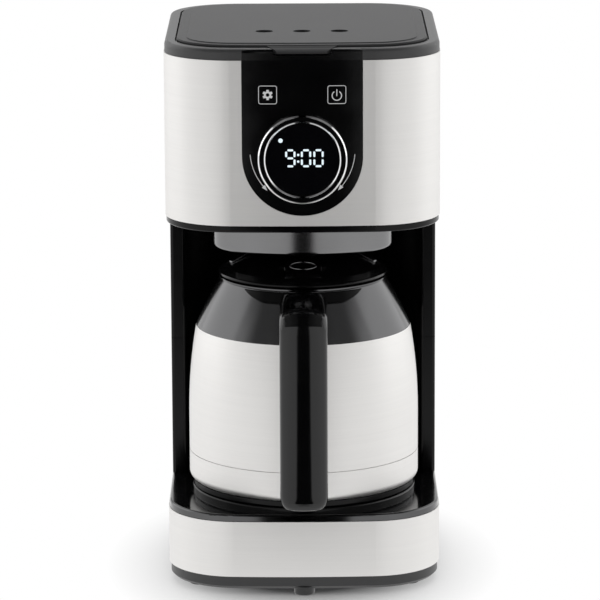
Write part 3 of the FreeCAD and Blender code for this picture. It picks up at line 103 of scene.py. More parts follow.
class CoffeeMakerSizes(bpy.types.PropertyGroup):
    print_lift: length("Print thickness", "How far the printed marks stand proud", 0.05)
    front_bow: length("Front bow", "Radius of the bowed front", 700)
    panel_set_back: length("Panel set-back", "How far the control panel lies behind the steel band", 0.2)
    # Depth of the painted dark reflection on the front of the top rim.
    painted_reflection_depth: length("Rim depth", "How deep the black stretch of the top rim is", 2.2)
    key_width: length("Key width", "Outer width of a printed key outline", 11.7)
    key_corner: length("Key corner", "Corner radius of a key outline", 1.5)
    key_line: length("Key line", "Line width of the key outlines", 0.42)
    key_rise: length("Key rise", "Height of the keys above the middle of the touch pads", 0.6)
    icon_radius: length("Icon radius", "Reach of the gear and power marks", 3.25)
    power_line: length("Power line", "Line width of the power mark", 0.62)
    power_drop: length("Power drop", "How far the power mark lies below the middle of its key", 0.6)
    arrow_line: length("Arrow line", "Line width of the turning arrows", 0.42)
    arrow_radius: length("Arrow radius", "Radius of the turning arrows", 35.5)
    arrow_head: length("Arrow head", "Reach of an arrow's head before it is stretched", 1.9)
    arrow_shift: length("Arrow shift", "How far an arrow is moved in towards the selector", 2.6)
    arrow_rise: length("Arrow rise", "How far an arrow is moved up beside the selector", 5.4)
    digit_height: length("Digit height", "Height of a display digit", 11.4)
    digit_width: length("Digit width", "Width of a display digit", 6.5)
    digit_stroke: length("Digit stroke", "Width of a lit segment", 1.3)
    figures_side: length("Figures side", "Sideways place of the row of figures on the display", 1.4)
    figures_rise: length("Figures rise", "Height of the row of figures above the display's middle", 1.0)
    hour_place: length("Hour figure", "Sideways place of the hour figure in its row", -9.0)
    colon_place: length("Colon", "Sideways place of the colon in its row", -4.1)
    ten_place: length("Tens figure", "Sideways place of the tens of minutes in their row", 0.8)
    unit_place: length("Units figure", "Sideways place of the minutes in their row", 8.6)
    colon_width: length("Colon width", "Width of a point of the colon", 1.5)
    colon_rise: length("Colon rise", "Distance of a point of the colon from the row's middle", 2.1)
    dot_radius: length("Status dot", "Radius of the lit status dot", 1.4)
    dot_side: length("Status dot side", "Sideways place of the status dot on the display", -13.7)
    dot_rise: length("Status dot rise", "Height of the status dot above the display's middle", 12.2)
    rib_length: length("Rib length", "Length of a grip rib on the carafe lid", 17)
    rib_width: length("Rib width", "Width of a grip rib on the carafe lid", 4.2)
    rib_height: length("Rib height", "Height of a grip rib on the carafe lid", 2.6)
    rib_edge: length("Rib edge", "Rounding of the edges of a grip rib", 0.6)
    rib_side: length("Rib side", "Distance of a grip rib from the middle of the carafe lid", 40)
    rib_back: length("Rib back", "How far a grip rib lies behind the middle of the carafe lid", 2)
    rib_drop: length("Rib drop", "How far a grip rib lies below the top of the carafe lid", 7.4)
    rib_slope: angle("Rib slope", "Slope of a grip rib down the carafe lid", 22)
    rib_aim: angle("Rib aim", "Turn of a grip rib from the sideways line", -31)
    thumb_wire: length("Thumb lip", "Half the thickness of the lip on the thumb lever", 0.5)
    thumb_radius: length("Thumb lip reach", "Half the length of the lip on the thumb lever", 8.3)
    thumb_back: length("Thumb lip back", "How far the lip lies behind the front of the lever", 9.9)
    thumb_drop: length("Thumb lip drop", "How far the lip lies below the top of the lever", 2.9)
    thumb_slope: angle("Thumb lip slope", "Slope of the lip on the thumb lever", 22.3)
    spring_wire: length("Spring wire", "Radius of the wire of the valve springs", 0.45)
    drip_travel: length("Drip stop travel", "How far the drip stop shortens its spring", 4.0)
    pour_travel: length("Pour valve travel", "How far the pour valve can shorten its spring", 3.9)
    handle_depth: length("Handle depth", "Depth of the carafe grip", 16)
    handle_bend: length("Handle bend", "Outer bend radius at the top of the grip", 14)
    handle_root: length("Handle root", "Height of the grip where it meets the carafe", 12.5)
    handle_tail: length("Handle tail", "Height of the rounded lower end of the grip", 9)
    handle_reach: length("Handle reach", "How far in front of the carafe's axis the grip ends", 60)


class CoffeeMakerColours(bpy.types.PropertyGroup):
    steel: colour("Steel", "Brushed steel", (0.79, 0.78, 0.765))
    gloss_black: colour("Gloss black", "Polished black plastic", (0.0025, 0.0025, 0.0028))
    satin_grey: colour("Satin grey", "Fine-grained dark plastic", (0.045, 0.045, 0.046))
    graphite: colour("Graphite", "Dark metal-effect lacquer", (0.115, 0.115, 0.117))
    # Pale graphite is the filter housing's lacquer and also a painted highlight on the lid ribs and thumb
    # lip.
    pale_graphite_and_highlight: colour("Pale graphite", "Lighter metal-effect lacquer", (0.21, 0.21, 0.213))
    black_plastic: colour("Black plastic", "Matt black plastic", (0.018, 0.018, 0.019))
    ink: colour("Ink", "Printed marks", (0.92, 0.92, 0.93))
    light: colour("Display light", "Lit segments", (0.80, 0.93, 1.0))
    unlit: colour("Display segment", "Segments under their light", (0.02, 0.02, 0.02))
    dull_chrome: colour("Dull chrome", "Chrome where it is hazy", (0.80, 0.80, 0.81))
    bright_chrome: colour("Bright chrome", "Chrome where it is clear", (0.90, 0.90, 0.91))
    dark_glass: colour("Dark glass", "Smoked glass at its darkest", (0.002, 0.002, 0.003))
    pale_glass: colour("Pale glass", "Smoked glass at its palest", (0.004, 0.004, 0.005))
    rubber: colour("Rubber", "Feet", (0.022, 0.022, 0.023))
    silicone: colour("Silicone", "Hoses and seals", (0.66, 0.66, 0.63))
    grey_plastic: colour("Grey plastic", "Tank and valves", (0.33, 0.33, 0.34))
    board: colour("Board", "Lacquered circuit board", (0.012, 0.075, 0.028))
    track: colour("Track", "Copper under green lacquer", (0.025, 0.14, 0.05))
    pad: colour("Pad", "Tinned pads", (0.55, 0.54, 0.50))
    dull_zinc: colour("Dull zinc", "Zinc-plated steel at its darkest", (0.48, 0.49, 0.50))
    bright_zinc: colour("Bright zinc", "Zinc-plated steel at its palest", (0.62, 0.62, 0.60))
    dull_aluminium: colour("Dull aluminium", "Cast aluminium in its pits", (0.48, 0.48, 0.48))
    bright_aluminium: colour("Bright aluminium", "Cast aluminium between its pits", (0.66, 0.66, 0.66))
    dull_brass: colour("Dull brass", "Brass at its darkest", (0.58, 0.42, 0.16))
    bright_brass: colour("Bright brass", "Brass at its palest", (0.78, 0.62, 0.30))


class CoffeeMakerStudio(bpy.types.PropertyGroup):
    camera_distance: length("Camera distance", "From the front face to the camera", 2390)
    camera_height: length("Camera height", "Height of the camera above the floor", 701.6)
    camera_side: length("Camera side", "Sideways place of the camera and its aim", -2.0)
    camera_roll: angle("Camera roll", "Turn about the line of sight", -0.28)
    aim_height: length("Aim height", "Height on the front face at the centre of the picture", 193.7)
    lens: amount("Lens", "Focal length in millimetres", 232.5)
    floor: colour("Floor", "Pale floor", (0.80, 0.80, 0.80))
    top_lamp: amount("Top lamp", "Power in watts", 22.0, "POWER")
    side_lamp: amount("Side lamps", "Power of each in watts", 10.0, "POWER")
    sky: amount("Sky", "Strength of the even light from all sides", 0.45)


def colours():
    return bpy.context.scene.coffee_colours


def sizes():
    return bpy.context.scene.coffee_sizes


def studio():
    return bpy.context.scene.coffee_studio


# Shader nodes

class Socket:
    """A shader socket that takes part in sums, so that shader maths reads as plain maths."""

    def __init__(self, shader, socket):
        self.shader = shader
        self.socket = socket

    def __add__(self, other):
        return self.shader.math("ADD", self, other)

    def __radd__(self, other):
        return self.shader.math("ADD", other, self)

    def __sub__(self, other):
        return self.shader.math("SUBTRACT", self, other)

    def __rsub__(self, other):
        return self.shader.math("SUBTRACT", other, self)

    def __mul__(self, other):
        return self.shader.math("MULTIPLY", self, other)

    def __rmul__(self, other):
        return self.shader.math("MULTIPLY", other, self)

    def __truediv__(self, other):
        return self.shader.math("DIVIDE", self, other)

    def __lt__(self, other):
        return self.shader.math("LESS_THAN", self, other)

    def __gt__(self, other):
        return self.shader.math("GREATER_THAN", self, other)

    def __abs__(self):
        return self.shader.math("ABSOLUTE", self)

    def clamp(self):
        return self.shader.math("MINIMUM", self.shader.math("MAXIMUM", self, 0.0), 1.0)

    def between(self, low, high):
        """Spread a value from 0 to 1 over a range."""
        return low + (high - low) * self

    def below(self, limit, slope):
        """0 above a limit, rising to 1 below it."""
        return ((limit - self) * slope).clamp()

    def above(self, limit, slope):
        """0 below a limit, rising to 1 above it."""
        return ((self - limit) * slope).clamp()


class Shader:
    """The nodes of one finish."""

    def __init__(self, tree):
        self.tree = tree
        self.tree.nodes.clear()

    def add(self, kind, settings=None, sockets=None, output=0):
        """Add a node: its settings first, then the values or links of its sockets."""
        node = self.tree.nodes.new(kind)
        for name, value in (settings or {}).items():
            setattr(node, name, value)
        for name, value in (sockets or {}).items():
            if isinstance(value, Socket):
                self.tree.links.new(value.socket, node.inputs[name])
            else:
                node.inputs[name].default_value = value
        return Socket(self, node.outputs[output]) if node.outputs else node

    def math(self, operation, first, second=0.0):
        return self.add("ShaderNodeMath", {"operation": operation}, {0: first, 1: second})

    def place(self):
        return self.add("ShaderNodeTexCoord", output="Object")

    def along(self, axis):
        """How far a point lies along X, Y or Z."""
        return self.add("ShaderNodeSeparateXYZ", sockets={0: self.place()}, output=axis)

    def noise(self, scale, detail=2.0, stretch=(1, 1, 1)):
        where = self.add("ShaderNodeMapping", sockets={"Vector": self.place(), "Scale": stretch})
        return self.add("ShaderNodeTexNoise", sockets={"Vector": where, "Scale": scale, "Detail": detail})

    def mix(self, share, first, second):
        """Blend two colours."""
        return self.add("ShaderNodeMix", {"data_type": "RGBA"}, {0: share, 6: first, 7: second}, output=2)

    def shade(self, share, base, darkest, lightest):
        """Vary a colour between two strengths of it."""
        return self.mix(share, rgba(base, darkest), rgba(base, lightest))

    def bump(self, height, strength, depth=0.3 * MM):
        return self.add("ShaderNodeBump", sockets={"Strength": strength, "Distance": depth, "Height": height})

    def surface(self, **sockets):
        named = {name.replace("_", " "): value for name, value in sockets.items()}
        shader = self.add("ShaderNodeBsdfPrincipled", sockets=named)
        self.add("ShaderNodeOutputMaterial", sockets={"Surface": shader})


def rgba(value, gain=1.0):
    return (value[0] * gain, value[1] * gain, value[2] * gain, 1.0)


# Finishes

def brushed_steel(shader):
    """Steel sheet brushed level: fine streaks along the sheet, broad soft bands across it."""
    fine = shader.noise(scale=1.0, detail=3.0, stretch=(22, 22, 2600))
    broad = shader.noise(scale=1.0, stretch=(7, 7, 420))
    cloud = shader.noise(scale=9.0)
    tone = fine * 0.45 + broad * 0.35 + cloud * 0.2
    shader.surface(
        Base_Color=shader.shade(tone, colours().steel, darkest=0.93, lightest=1.07), Metallic=1.0,
        Roughness=tone.between(0.42, 0.54), Anisotropic=0.3, Anisotropic_Rotation=0.25,
        Normal=shader.bump(fine + broad * 0.5, strength=0.025, depth=0.4 * MM))


def gloss_black(shader):
    """Polished black plastic with a faint ripple and polishing haze."""
    haze = shader.noise(scale=55.0, detail=3.0)
    ripple = shader.noise(scale=210.0, detail=1.0)
    shader.surface(
        Base_Color=shader.shade(haze, colours().gloss_black, darkest=0.7, lightest=1.5),
        Roughness=haze.between(0.07, 0.15), Normal=shader.bump(ripple, strength=0.015, depth=0.5 * MM))


def deep_black(shader):
    """Black plastic with a dull polish, as on the parts that stay in shade."""
    haze = shader.noise(scale=60.0, detail=3.0)
    shader.surface(
        Base_Color=shader.shade(haze, colours().gloss_black, darkest=0.6, lightest=1.2),
        Roughness=haze.between(0.12, 0.22), Specular_IOR_Level=0.2)


def grained(shader, base, rough, relief=0.10, shine=0.5):
    """Moulded plastic with a fine spark-eroded grain."""
    spread = 0.06
    grain = shader.noise(scale=2400.0)
    patch = shader.noise(scale=30.0, detail=3.0)
    shader.surface(
        Base_Color=shader.shade(patch * 0.6 + grain * 0.4, base, darkest=0.85, lightest=1.15),
        Roughness=grain.between(rough - spread, rough + spread), Specular_IOR_Level=shine,
        Normal=shader.bump(grain, strength=relief))


def satin_grey(shader):
    grained(shader, colours().satin_grey, rough=0.42)


def lid_grey(shader):
    grained(shader, colours().satin_grey, rough=0.36, relief=0.06, shine=0.03)


def lacquer(shader, base):
    """Dark metal-effect lacquer with a fine flake."""
    flake = shader.noise(scale=2600.0)
    cloud = shader.noise(scale=25.0)
    tone = flake * 0.5 + cloud * 0.5
    shader.surface(
        Base_Color=shader.shade(tone, base, darkest=0.85, lightest=1.15), Metallic=1.0,
        Roughness=tone.between(0.13, 0.20), Normal=shader.bump(flake, strength=0.03))


def graphite(shader):
    lacquer(shader, colours().graphite)


# The filter housing's pale lacquer, also a painted highlight on the black lid ribs and thumb lip.
def pale_graphite_and_highlight(shader):
    lacquer(shader, colours().pale_graphite_and_highlight)


def rimmed_black(shader):
    """Polished black base with a graphite edge strip round its top."""
    z = shader.along("Z")
    strip = (STRIP[0] < z) * (z < STRIP[1])
    haze = shader.noise(scale=55.0, detail=3.0)
    black = shader.shade(haze, colours().gloss_black, darkest=0.7, lightest=1.5)
    shader.surface(
        Base_Color=shader.mix(strip, black, rgba(colours().graphite)), Metallic=strip,
        Roughness=haze.between(0.07, 0.15))


def black_plastic(shader):
    grained(shader, colours().black_plastic, rough=0.5)


def rim_grey(shader):
    """Satin grey rim with a painted reflection: black across the control panel's width on its front face
    only, standing in for the dark flag mirrored there.
    """
    polish = 0.28
    # The black band is a painted reflection of the dark flag before the machine, not a black part; it is also
    # polished smoother.
    painted_reflection_band = (abs(shader.along("X")) < PANEL_HALF) * (shader.along("Y") < FRONT + sizes().painted_reflection_depth)
    grain = shader.noise(scale=2400.0)
    grey = shader.shade(grain, colours().satin_grey, darkest=0.85, lightest=1.15)
    shader.surface(
        Base_Color=shader.mix(painted_reflection_band, grey, rgba(colours().gloss_black)),
        Roughness=grain.between(0.36, 0.48) - painted_reflection_band * polish, Normal=shader.bump(grain, strength=0.08))


def chrome(shader):
    haze = shader.noise(scale=120.0)
    shader.surface(
        Base_Color=shader.mix(haze, rgba(colours().dull_chrome), rgba(colours().bright_chrome)), Metallic=1.0,
        Roughness=haze.between(0.05, 0.11))


def smoked_glass(shader):
    haze = shader.noise(scale=80.0)
    shader.surface(
        Base_Color=shader.mix(haze, rgba(colours().dark_glass), rgba(colours().pale_glass)),
        Roughness=haze.between(0.03, 0.06))


def ink(shader):
    grain = shader.noise(scale=3000.0)
    shader.surface(
        Base_Color=shader.shade(grain, colours().ink, darkest=0.92, lightest=1.05),
        Roughness=grain.between(0.45, 0.55))


def lit_segment(shader):
    """A lit display segment, a little uneven as light through a diffuser is."""
    spread = shader.noise(scale=400.0, detail=1.0)
    glow = shader.shade(spread, colours().light, darkest=0.92, lightest=1.0)
    shader.surface(
        Base_Color=rgba(colours().unlit), Roughness=0.3, Emission_Color=glow, Emission_Strength=1.05)


def rubber(shader):
    grained(shader, colours().rubber, rough=0.34, relief=0.06)


def silicone(shader):
    grained(shader, colours().silicone, rough=0.5, relief=0.06)


def grey_plastic(shader):
    grained(shader, colours().grey_plastic, rough=0.42)


def circuit_board(shader):
    """Green lacquered board with copper tracks under the lacquer and tinned pads."""
    track_half = 0.06
    cells = shader.add("ShaderNodeTexVoronoi", {"feature": "DISTANCE_TO_EDGE", "distance": "MANHATTAN"},
                       {"Vector": shader.place(), "Scale": 260.0})
    tracks = cells < track_half
    pads = shader.noise(scale=700.0, detail=0.0).below(limit=0.36, slope=40.0)
    board = shader.mix(tracks, rgba(colours().board), rgba(colours().track))
    shader.surface(
        Base_Color=shader.mix(pads, board, rgba(colours().pad)), Roughness=tracks.between(0.34, 0.28),
        Normal=shader.bump(tracks, strength=0.1))


def zinc_steel(shader):
    patch = shader.noise(scale=90.0, detail=3.0)
    shader.surface(
        Base_Color=shader.mix(patch, rgba(colours().dull_zinc), rgba(colours().bright_zinc)), Metallic=1.0,
        Roughness=patch.between(0.28, 0.48))


def cast_aluminium(shader):
    pits = shader.noise(scale=900.0, detail=4.0)
    shader.surface(
        Base_Color=shader.mix(pits, rgba(colours().dull_aluminium), rgba(colours().bright_aluminium)),
        Metallic=1.0, Roughness=pits.between(0.42, 0.62),
        Normal=shader.bump(pits, strength=0.35, depth=0.4 * MM))


def brass_tabs(shader):
    patch = shader.noise(scale=150.0, detail=3.0)
    shader.surface(
        Base_Color=shader.mix(patch, rgba(colours().dull_brass), rgba(colours().bright_brass)), Metallic=1.0,
        Roughness=patch.between(0.25, 0.45))


FINISHES = {}


def finish(maker):
    """The material of a finish, made the first time it is asked for."""
    name = maker.__name__
    if name not in FINISHES:
        material = bpy.data.materials.new("finish_" + name)
        material.use_nodes = True
        maker(Shader(material.node_tree))
        FINISHES[name] = material
    return FINISHES[name]


def dress(maker, *nodes):
    """Give CAD nodes a finish."""
    for node in nodes:
        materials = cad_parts[node].data.materials
        materials.clear()
        materials.append(finish(maker))


# Mesh helpers

def piece(name, bm, maker, body, crease=35):
    """Turn a closed bmesh into a named piece that rides on a body."""
    bmesh.ops.remove_doubles(bm, verts=bm.verts, dist=1e-7)
    bmesh.ops.recalc_face_normals(bm, faces=bm.faces)
    mesh = bpy.data.meshes.new(name)
    bm.to_mesh(mesh)
    bm.free()
    mesh.materials.append(finish(maker))
    mesh.shade_smooth()
    mesh.set_sharp_from_angle(angle=math.radians(crease))
    item = bpy.data.objects.new(name, mesh)
    bpy.context.scene.collection.objects.link(item)
    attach(item, body)
    return item


def rotate(bm, verts, turn, axis):
    """Turn vertices about the origin."""
    bmesh.ops.rotate(bm, verts=verts, cent=(0, 0, 0), matrix=Matrix.Rotation(turn, 3, axis))


def spin(bm, geometry, turn, steps, rise=0.0, closed=False):
    """Sweep edges round the upright axis."""
    bmesh.ops.spin(bm, geom=geometry, cent=(0, 0, 0), axis=(0, 0, 1), dvec=(0, 0, rise), angle=turn,
                   steps=steps, use_merge=closed)


def round_off(bm, geometry, offset, segments, affect="EDGES"):
    bmesh.ops.bevel(bm, geom=geometry, offset=offset, offset_type="OFFSET", segments=segments, profile=0.5,
                    affect=affect, material=-1)


def stand(bm):
    """Turn flat shapes drawn in X and Y up into the front view."""
    rotate(bm, bm.verts, math.pi / 2, "X")


def thicken(bm, depth):
    """Give flat shapes in the front view a thickness towards the back."""
    made = bmesh.ops.extrude_face_region(bm, geom=bm.faces[:])["geom"]
    bmesh.ops.translate(bm, verts=[v for v in made if isinstance(v, bmesh.types.BMVert)], vec=(0, depth, 0))


def wire_section(bm, wire, radius, segments):
    """The round section of a wire, upright beside the axis that it is swept round."""
    ring = bmesh.ops.create_circle(bm, segments=segments, radius=wire)["verts"]
    rotate(bm, ring, math.pi / 2, "X")
    bmesh.ops.translate(bm, verts=ring, vec=(radius, 0, 0))
    return bm.verts[:] + bm.edges[:]


# Printed marks

def panel_face(x):
    """The depth of the bowed control panel at a distance from its middle."""
    set_back = sizes().panel_set_back
    bow = sizes().front_bow - set_back
    return FRONT + set_back + bow - math.sqrt(bow * bow - x * x)


def print_on_panel(name, bm, x, z):
    """Place a flat mark on the bowed panel."""
    stand(bm)
    thicken(bm, 3 * sizes().print_lift)
    bmesh.ops.translate(bm, verts=bm.verts, vec=(x, -sizes().print_lift, z))
    for vert in bm.verts:
        vert.co.y += panel_face(vert.co.x)
    return piece(name, bm, ink, "machine")


def key_outline(name, x, z):
    """A thin square outline with rounded corners."""
    bm = bmesh.new()
    bmesh.ops.create_grid(bm, x_segments=1, y_segments=1, size=sizes().key_width / 2)
    round_off(bm, bm.verts[:], sizes().key_corner, segments=8, affect="VERTICES")
    inner = bm.faces[:]
    bmesh.ops.inset_region(bm, faces=inner, thickness=sizes().key_line, use_even_offset=True,
                           use_boundary=True)
    bmesh.ops.delete(bm, geom=inner, context="FACES")
    print_on_panel(name, bm, x, z)


def gear_mark(x, z):
    """A gear of six teeth round an open middle."""
    pitch = math.radians(60)
    half_tooth = math.radians(16)
    gap_share = 0.72
    hole_share = 0.34
    steps = 72
    bm = bmesh.new()
    reach = sizes().icon_radius
    outer = bmesh.ops.create_circle(bm, segments=steps, radius=reach)["verts"]
    for vert in outer:
        turn = (math.atan2(vert.co.y, vert.co.x) + pitch / 2) % pitch - pitch / 2
        if abs(turn) > half_tooth:
            vert.co *= gap_share
    inner = bmesh.ops.create_circle(bm, segments=steps, radius=reach * hole_share)["verts"]
    edges = {edge for vert in outer + inner for edge in vert.link_edges}
    bmesh.ops.bridge_loops(bm, edges=list(edges))
    rotate(bm, bm.verts, pitch / 2, "Z")
    print_on_panel("gear_mark", bm, x, z)


def swept_line(bm, radius, width, start, end, steps):
    """A line of even width along an arc, in X and Y, between two angles in degrees."""
    turn = Matrix.Rotation(math.radians(start), 3, "Z")
    ends = [bm.verts.new(turn @ Vector((radius + side * width / 2, 0, 0))) for side in (-1, 1)]
    edge = bm.edges.new(ends)
    spin(bm, [*ends, edge], math.radians(end - start), steps)


def power_mark(x, z):
    """A ring that is open at its top, with a bar in the opening."""
    half_gap = 32
    bar_share = 1.45
    rise_share = 0.62
    bm = bmesh.new()
    line = sizes().power_line
    radius = sizes().icon_radius - line / 2
    swept_line(bm, radius, line, 90 + half_gap, 450 - half_gap, steps=28)
    stem = bmesh.ops.create_grid(bm, x_segments=1, y_segments=1, size=0.5)["verts"]
    bmesh.ops.scale(bm, verts=stem, vec=(line, radius * bar_share, 1))
    bmesh.ops.translate(bm, verts=stem, vec=(0, radius * rise_share, 0))
    print_on_panel("power_mark", bm, x, z - sizes().power_drop)


def turn_arrow(name, mirror):
    """A thin curved arrow beside the selector that points down and inwards."""
    start = 184.5
    end = 220.5
    head_place = 222
    head_aim = 311
    head_stretch = (0.8, 1.3, 1)
    bm = bmesh.new()
    radius = sizes().arrow_radius
    swept_line(bm, radius, sizes().arrow_line, start, end, steps=20)
    head = bmesh.ops.create_circle(bm, cap_ends=True, segments=3, radius=sizes().arrow_head)["verts"]
    bmesh.ops.scale(bm, verts=head, vec=head_stretch)
    tip = max(head, key=lambda vert: vert.co.length)
    rotate(bm, head, math.radians(head_aim) - math.atan2(tip.co.y, tip.co.x), "Z")
    line_end = Matrix.Rotation(math.radians(head_place), 3, "Z") @ Vector((radius, 0, 0))
    bmesh.ops.translate(bm, verts=head, vec=line_end)
    bmesh.ops.translate(bm, verts=bm.verts, vec=(sizes().arrow_shift, sizes().arrow_rise, 0))
    if mirror:
        bmesh.ops.scale(bm, verts=bm.verts, vec=(-1, 1, 1))
    print_on_panel(name, bm, DIAL.x, DIAL.z)


# Lit figures

SEGMENTS = {"9": "abcdfg", "0": "abcdef"}


def bar(bm, x, z, wide, high, face):
    """A lit bar with rounded ends in the front view."""
    corner_share = 0.42
    depth = 2 * sizes().print_lift
    verts = bmesh.ops.create_cube(bm, size=1.0)["verts"]
    bmesh.ops.scale(bm, verts=verts, vec=(wide, depth, high))
    bmesh.ops.translate(bm, verts=verts, vec=(x, face, z))
    edges = {edge for vert in verts for edge in vert.link_edges}
    level = [edge for edge in edges if abs((edge.verts[0].co - edge.verts[1].co).y) > depth / 2]
    round_off(bm, level, min(wide, high) * corner_share, segments=4)


def digit(name, figure, x, z, face):
    """A seven-segment figure."""
    across_gap = 2.2
    upright_gap = 1.15
    bm = bmesh.new()
    wide = sizes().digit_width
    high = sizes().digit_height
    stroke = sizes().digit_stroke
    side = (wide - stroke) / 2
    rise = (high - stroke) / 2
    across = wide - across_gap * stroke
    upright = rise - upright_gap * stroke
    places = {"a": (0, rise, across, stroke), "g": (0, 0, across, stroke), "d": (0, -rise, across, stroke),
              "b": (side, rise / 2, stroke, upright), "c": (side, -rise / 2, stroke, upright),
              "f": (-side, rise / 2, stroke, upright), "e": (-side, -rise / 2, stroke, upright)}
    for letter in SEGMENTS[figure]:
        dx, dz, width, height = places[letter]
        bar(bm, x + dx, z + dz, width, height, face)
    piece(name, bm, lit_segment, "machine")


def colon(x, z, face):
    """The two points between the hours and the minutes."""
    bm = bmesh.new()
    wide = sizes().colon_width
    for rise in (-sizes().colon_rise, sizes().colon_rise):
        bar(bm, x, z + rise, wide, wide, face)
    piece("colon", bm, lit_segment, "machine")


def status_dot(x, z, face):
    bm = bmesh.new()
    bmesh.ops.create_circle(bm, cap_ends=True, segments=32, radius=sizes().dot_radius)
    stand(bm)
    thicken(bm, 2 * sizes().print_lift)
    bmesh.ops.translate(bm, verts=bm.verts, vec=(x, face - sizes().print_lift, z))
    piece("status_dot", bm, lit_segment, "machine")


# Carafe pieces

def step_along(bm, face, now, then):
    """Push the open end of a swept form from one placement to the next."""
    made = bmesh.ops.extrude_face_region(bm, geom=[face])["geom"]
    verts = [item for item in made if isinstance(item, bmesh.types.BMVert)]
    bmesh.ops.transform(bm, matrix=then @ now.inverted(), verts=verts)
    return [item for item in made if isinstance(item, bmesh.types.BMFace)][0]


def section(y, z, lean, width, depth):
    """Where a section of the grip goes: its middle, its lean from upright and its size."""
    return (Matrix.Translation((0, y, z)) @ Matrix.Rotation(-lean, 4, "X")
            @ Matrix.Diagonal((width, depth, 1, 1)))


def grip_sections():
    """The placements of the grip's section from its tail to its root."""
    tail_steps = 8
    tip_width = 0.52
    tip_depth = 0.35
    width_power = 0.8
    depth_power = 0.7
    bend_steps = 12
    low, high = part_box("carafe_handle")
    half = (high.x - low.x) / 2
    deep = sizes().handle_depth / 2
    bend = sizes().handle_bend
    root = sizes().handle_root / 2
    middle_y = low.y + deep
    for i in range(1, tail_steps + 1):
        turn = math.pi / 2 * i / tail_steps
        wide = tip_width + (1 - tip_width) * math.sin(turn) ** width_power
        thick = tip_depth + (1 - tip_depth) * math.sin(turn) ** depth_power
        rise = sizes().handle_tail * (1 - math.cos(turn))
        yield section(middle_y, low.z + rise, 0, half * wide, deep * thick)
    yield section(middle_y, (low.z + high.z) / 2, 0, half, deep)
    centre = Vector((0, low.y + bend, high.z - bend))
    for i in range(bend_steps + 1):
        lean = math.pi / 2 * i / bend_steps
        thick = deep + (root - deep) * i / bend_steps
        reach = bend - thick
        yield section(centre.y - reach * math.cos(lean), centre.z + reach * math.sin(lean), lean, half, thick)
    yield section(AXIS.y - sizes().handle_reach, high.z - root, math.pi / 2, half, root)


def curved(value, power):
    return math.copysign(abs(value) ** power, value)


def make_grip():
    """The carafe grip: a crowned section swept from a rounded tail, over the bend and to the carafe."""
    side_power = 0.80
    front_power = 0.86
    back_power = 0.6
    bm = bmesh.new()
    start = bmesh.ops.create_circle(bm, cap_ends=True, segments=56, radius=1.0)["verts"]
    for vert in start:
        vert.co.x = curved(vert.co.x, side_power)
        vert.co.y = curved(vert.co.y, front_power if vert.co.y < 0 else back_power)
    placements = list(grip_sections())
    bmesh.ops.transform(bm, matrix=placements[0], verts=start)
    face = bm.faces[:][0]
    for now, then in zip(placements, placements[1:]):
        face = step_along(bm, face, now, then)
    return piece("carafe_grip", bm, gloss_black, "carafe", crease=50)


def lid_rib(name, side):
    """A raised grip rib on the slope of the carafe lid; its pale lacquer on black plastic is a painted
    highlight on the lit top.
    """
    size = sizes()
    bm = bmesh.new()
    verts = bmesh.ops.create_cube(bm, size=1.0)["verts"]
    bmesh.ops.scale(bm, verts=verts, vec=(size.rib_length, size.rib_width, size.rib_height))
    round_off(bm, bm.edges[:], size.rib_edge, segments=3)
    rotate(bm, bm.verts, size.rib_slope, "Y")
    rotate(bm, bm.verts, size.rib_aim, "Z")
    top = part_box("carafe_lid")[1].z
    bmesh.ops.translate(bm, verts=bm.verts, vec=(size.rib_side, AXIS.y + size.rib_back, top - size.rib_drop))
    if side < 0:
        bmesh.ops.scale(bm, verts=bm.verts, vec=(-1, 1, 1))
    # The rib is black plastic; the pale finish is a painted highlight.
    piece(name, bm, pale_graphite_and_highlight, "carafe_cap")


def thumb_rim():
    """The raised oval lip round the hollow in the thumb lever; its pale lacquer on black plastic is a painted
    highlight.
    """
    squeeze = 0.5
    size = sizes()
    bm = bmesh.new()
    tube = wire_section(bm, size.thumb_wire, size.thumb_radius, segments=12)
    spin(bm, tube, 2 * math.pi, steps=64, closed=True)
    bmesh.ops.scale(bm, verts=bm.verts, vec=(1, squeeze, 1))
    rotate(bm, bm.verts, size.thumb_slope, "X")
    low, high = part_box("pour_lever")
    bmesh.ops.translate(bm, verts=bm.verts, vec=(0, low.y + size.thumb_back, high.z - size.thumb_drop))
    # The lip is black plastic; the pale finish is a painted highlight.
    piece("thumb_rim", bm, pale_graphite_and_highlight, "lever")


def soft_spring(name, node, body):
    """A coil in place of a CAD spring, riding on a body."""
    turns = 5
    steps = 24 * turns
    low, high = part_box(node)
    centre = middle(node)
    wire = sizes().spring_wire
    bm = bmesh.new()
    tube = wire_section(bm, wire, (high.x - low.x) / 2 - wire, segments=10)
    spin(bm, tube, 2 * math.pi * turns, steps, rise=(high.z - low.z - 2 * wire) / steps)
    bmesh.ops.holes_fill(bm, edges=bm.edges[:], sides=0)
    bmesh.ops.translate(bm, verts=bm.verts, vec=(centre.x, centre.y, low.z + wire))
    coil = piece(name, bm, zinc_steel, body)
    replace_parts(coil, node)
    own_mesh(coil)


# Operators, one for each piece or group of like pieces

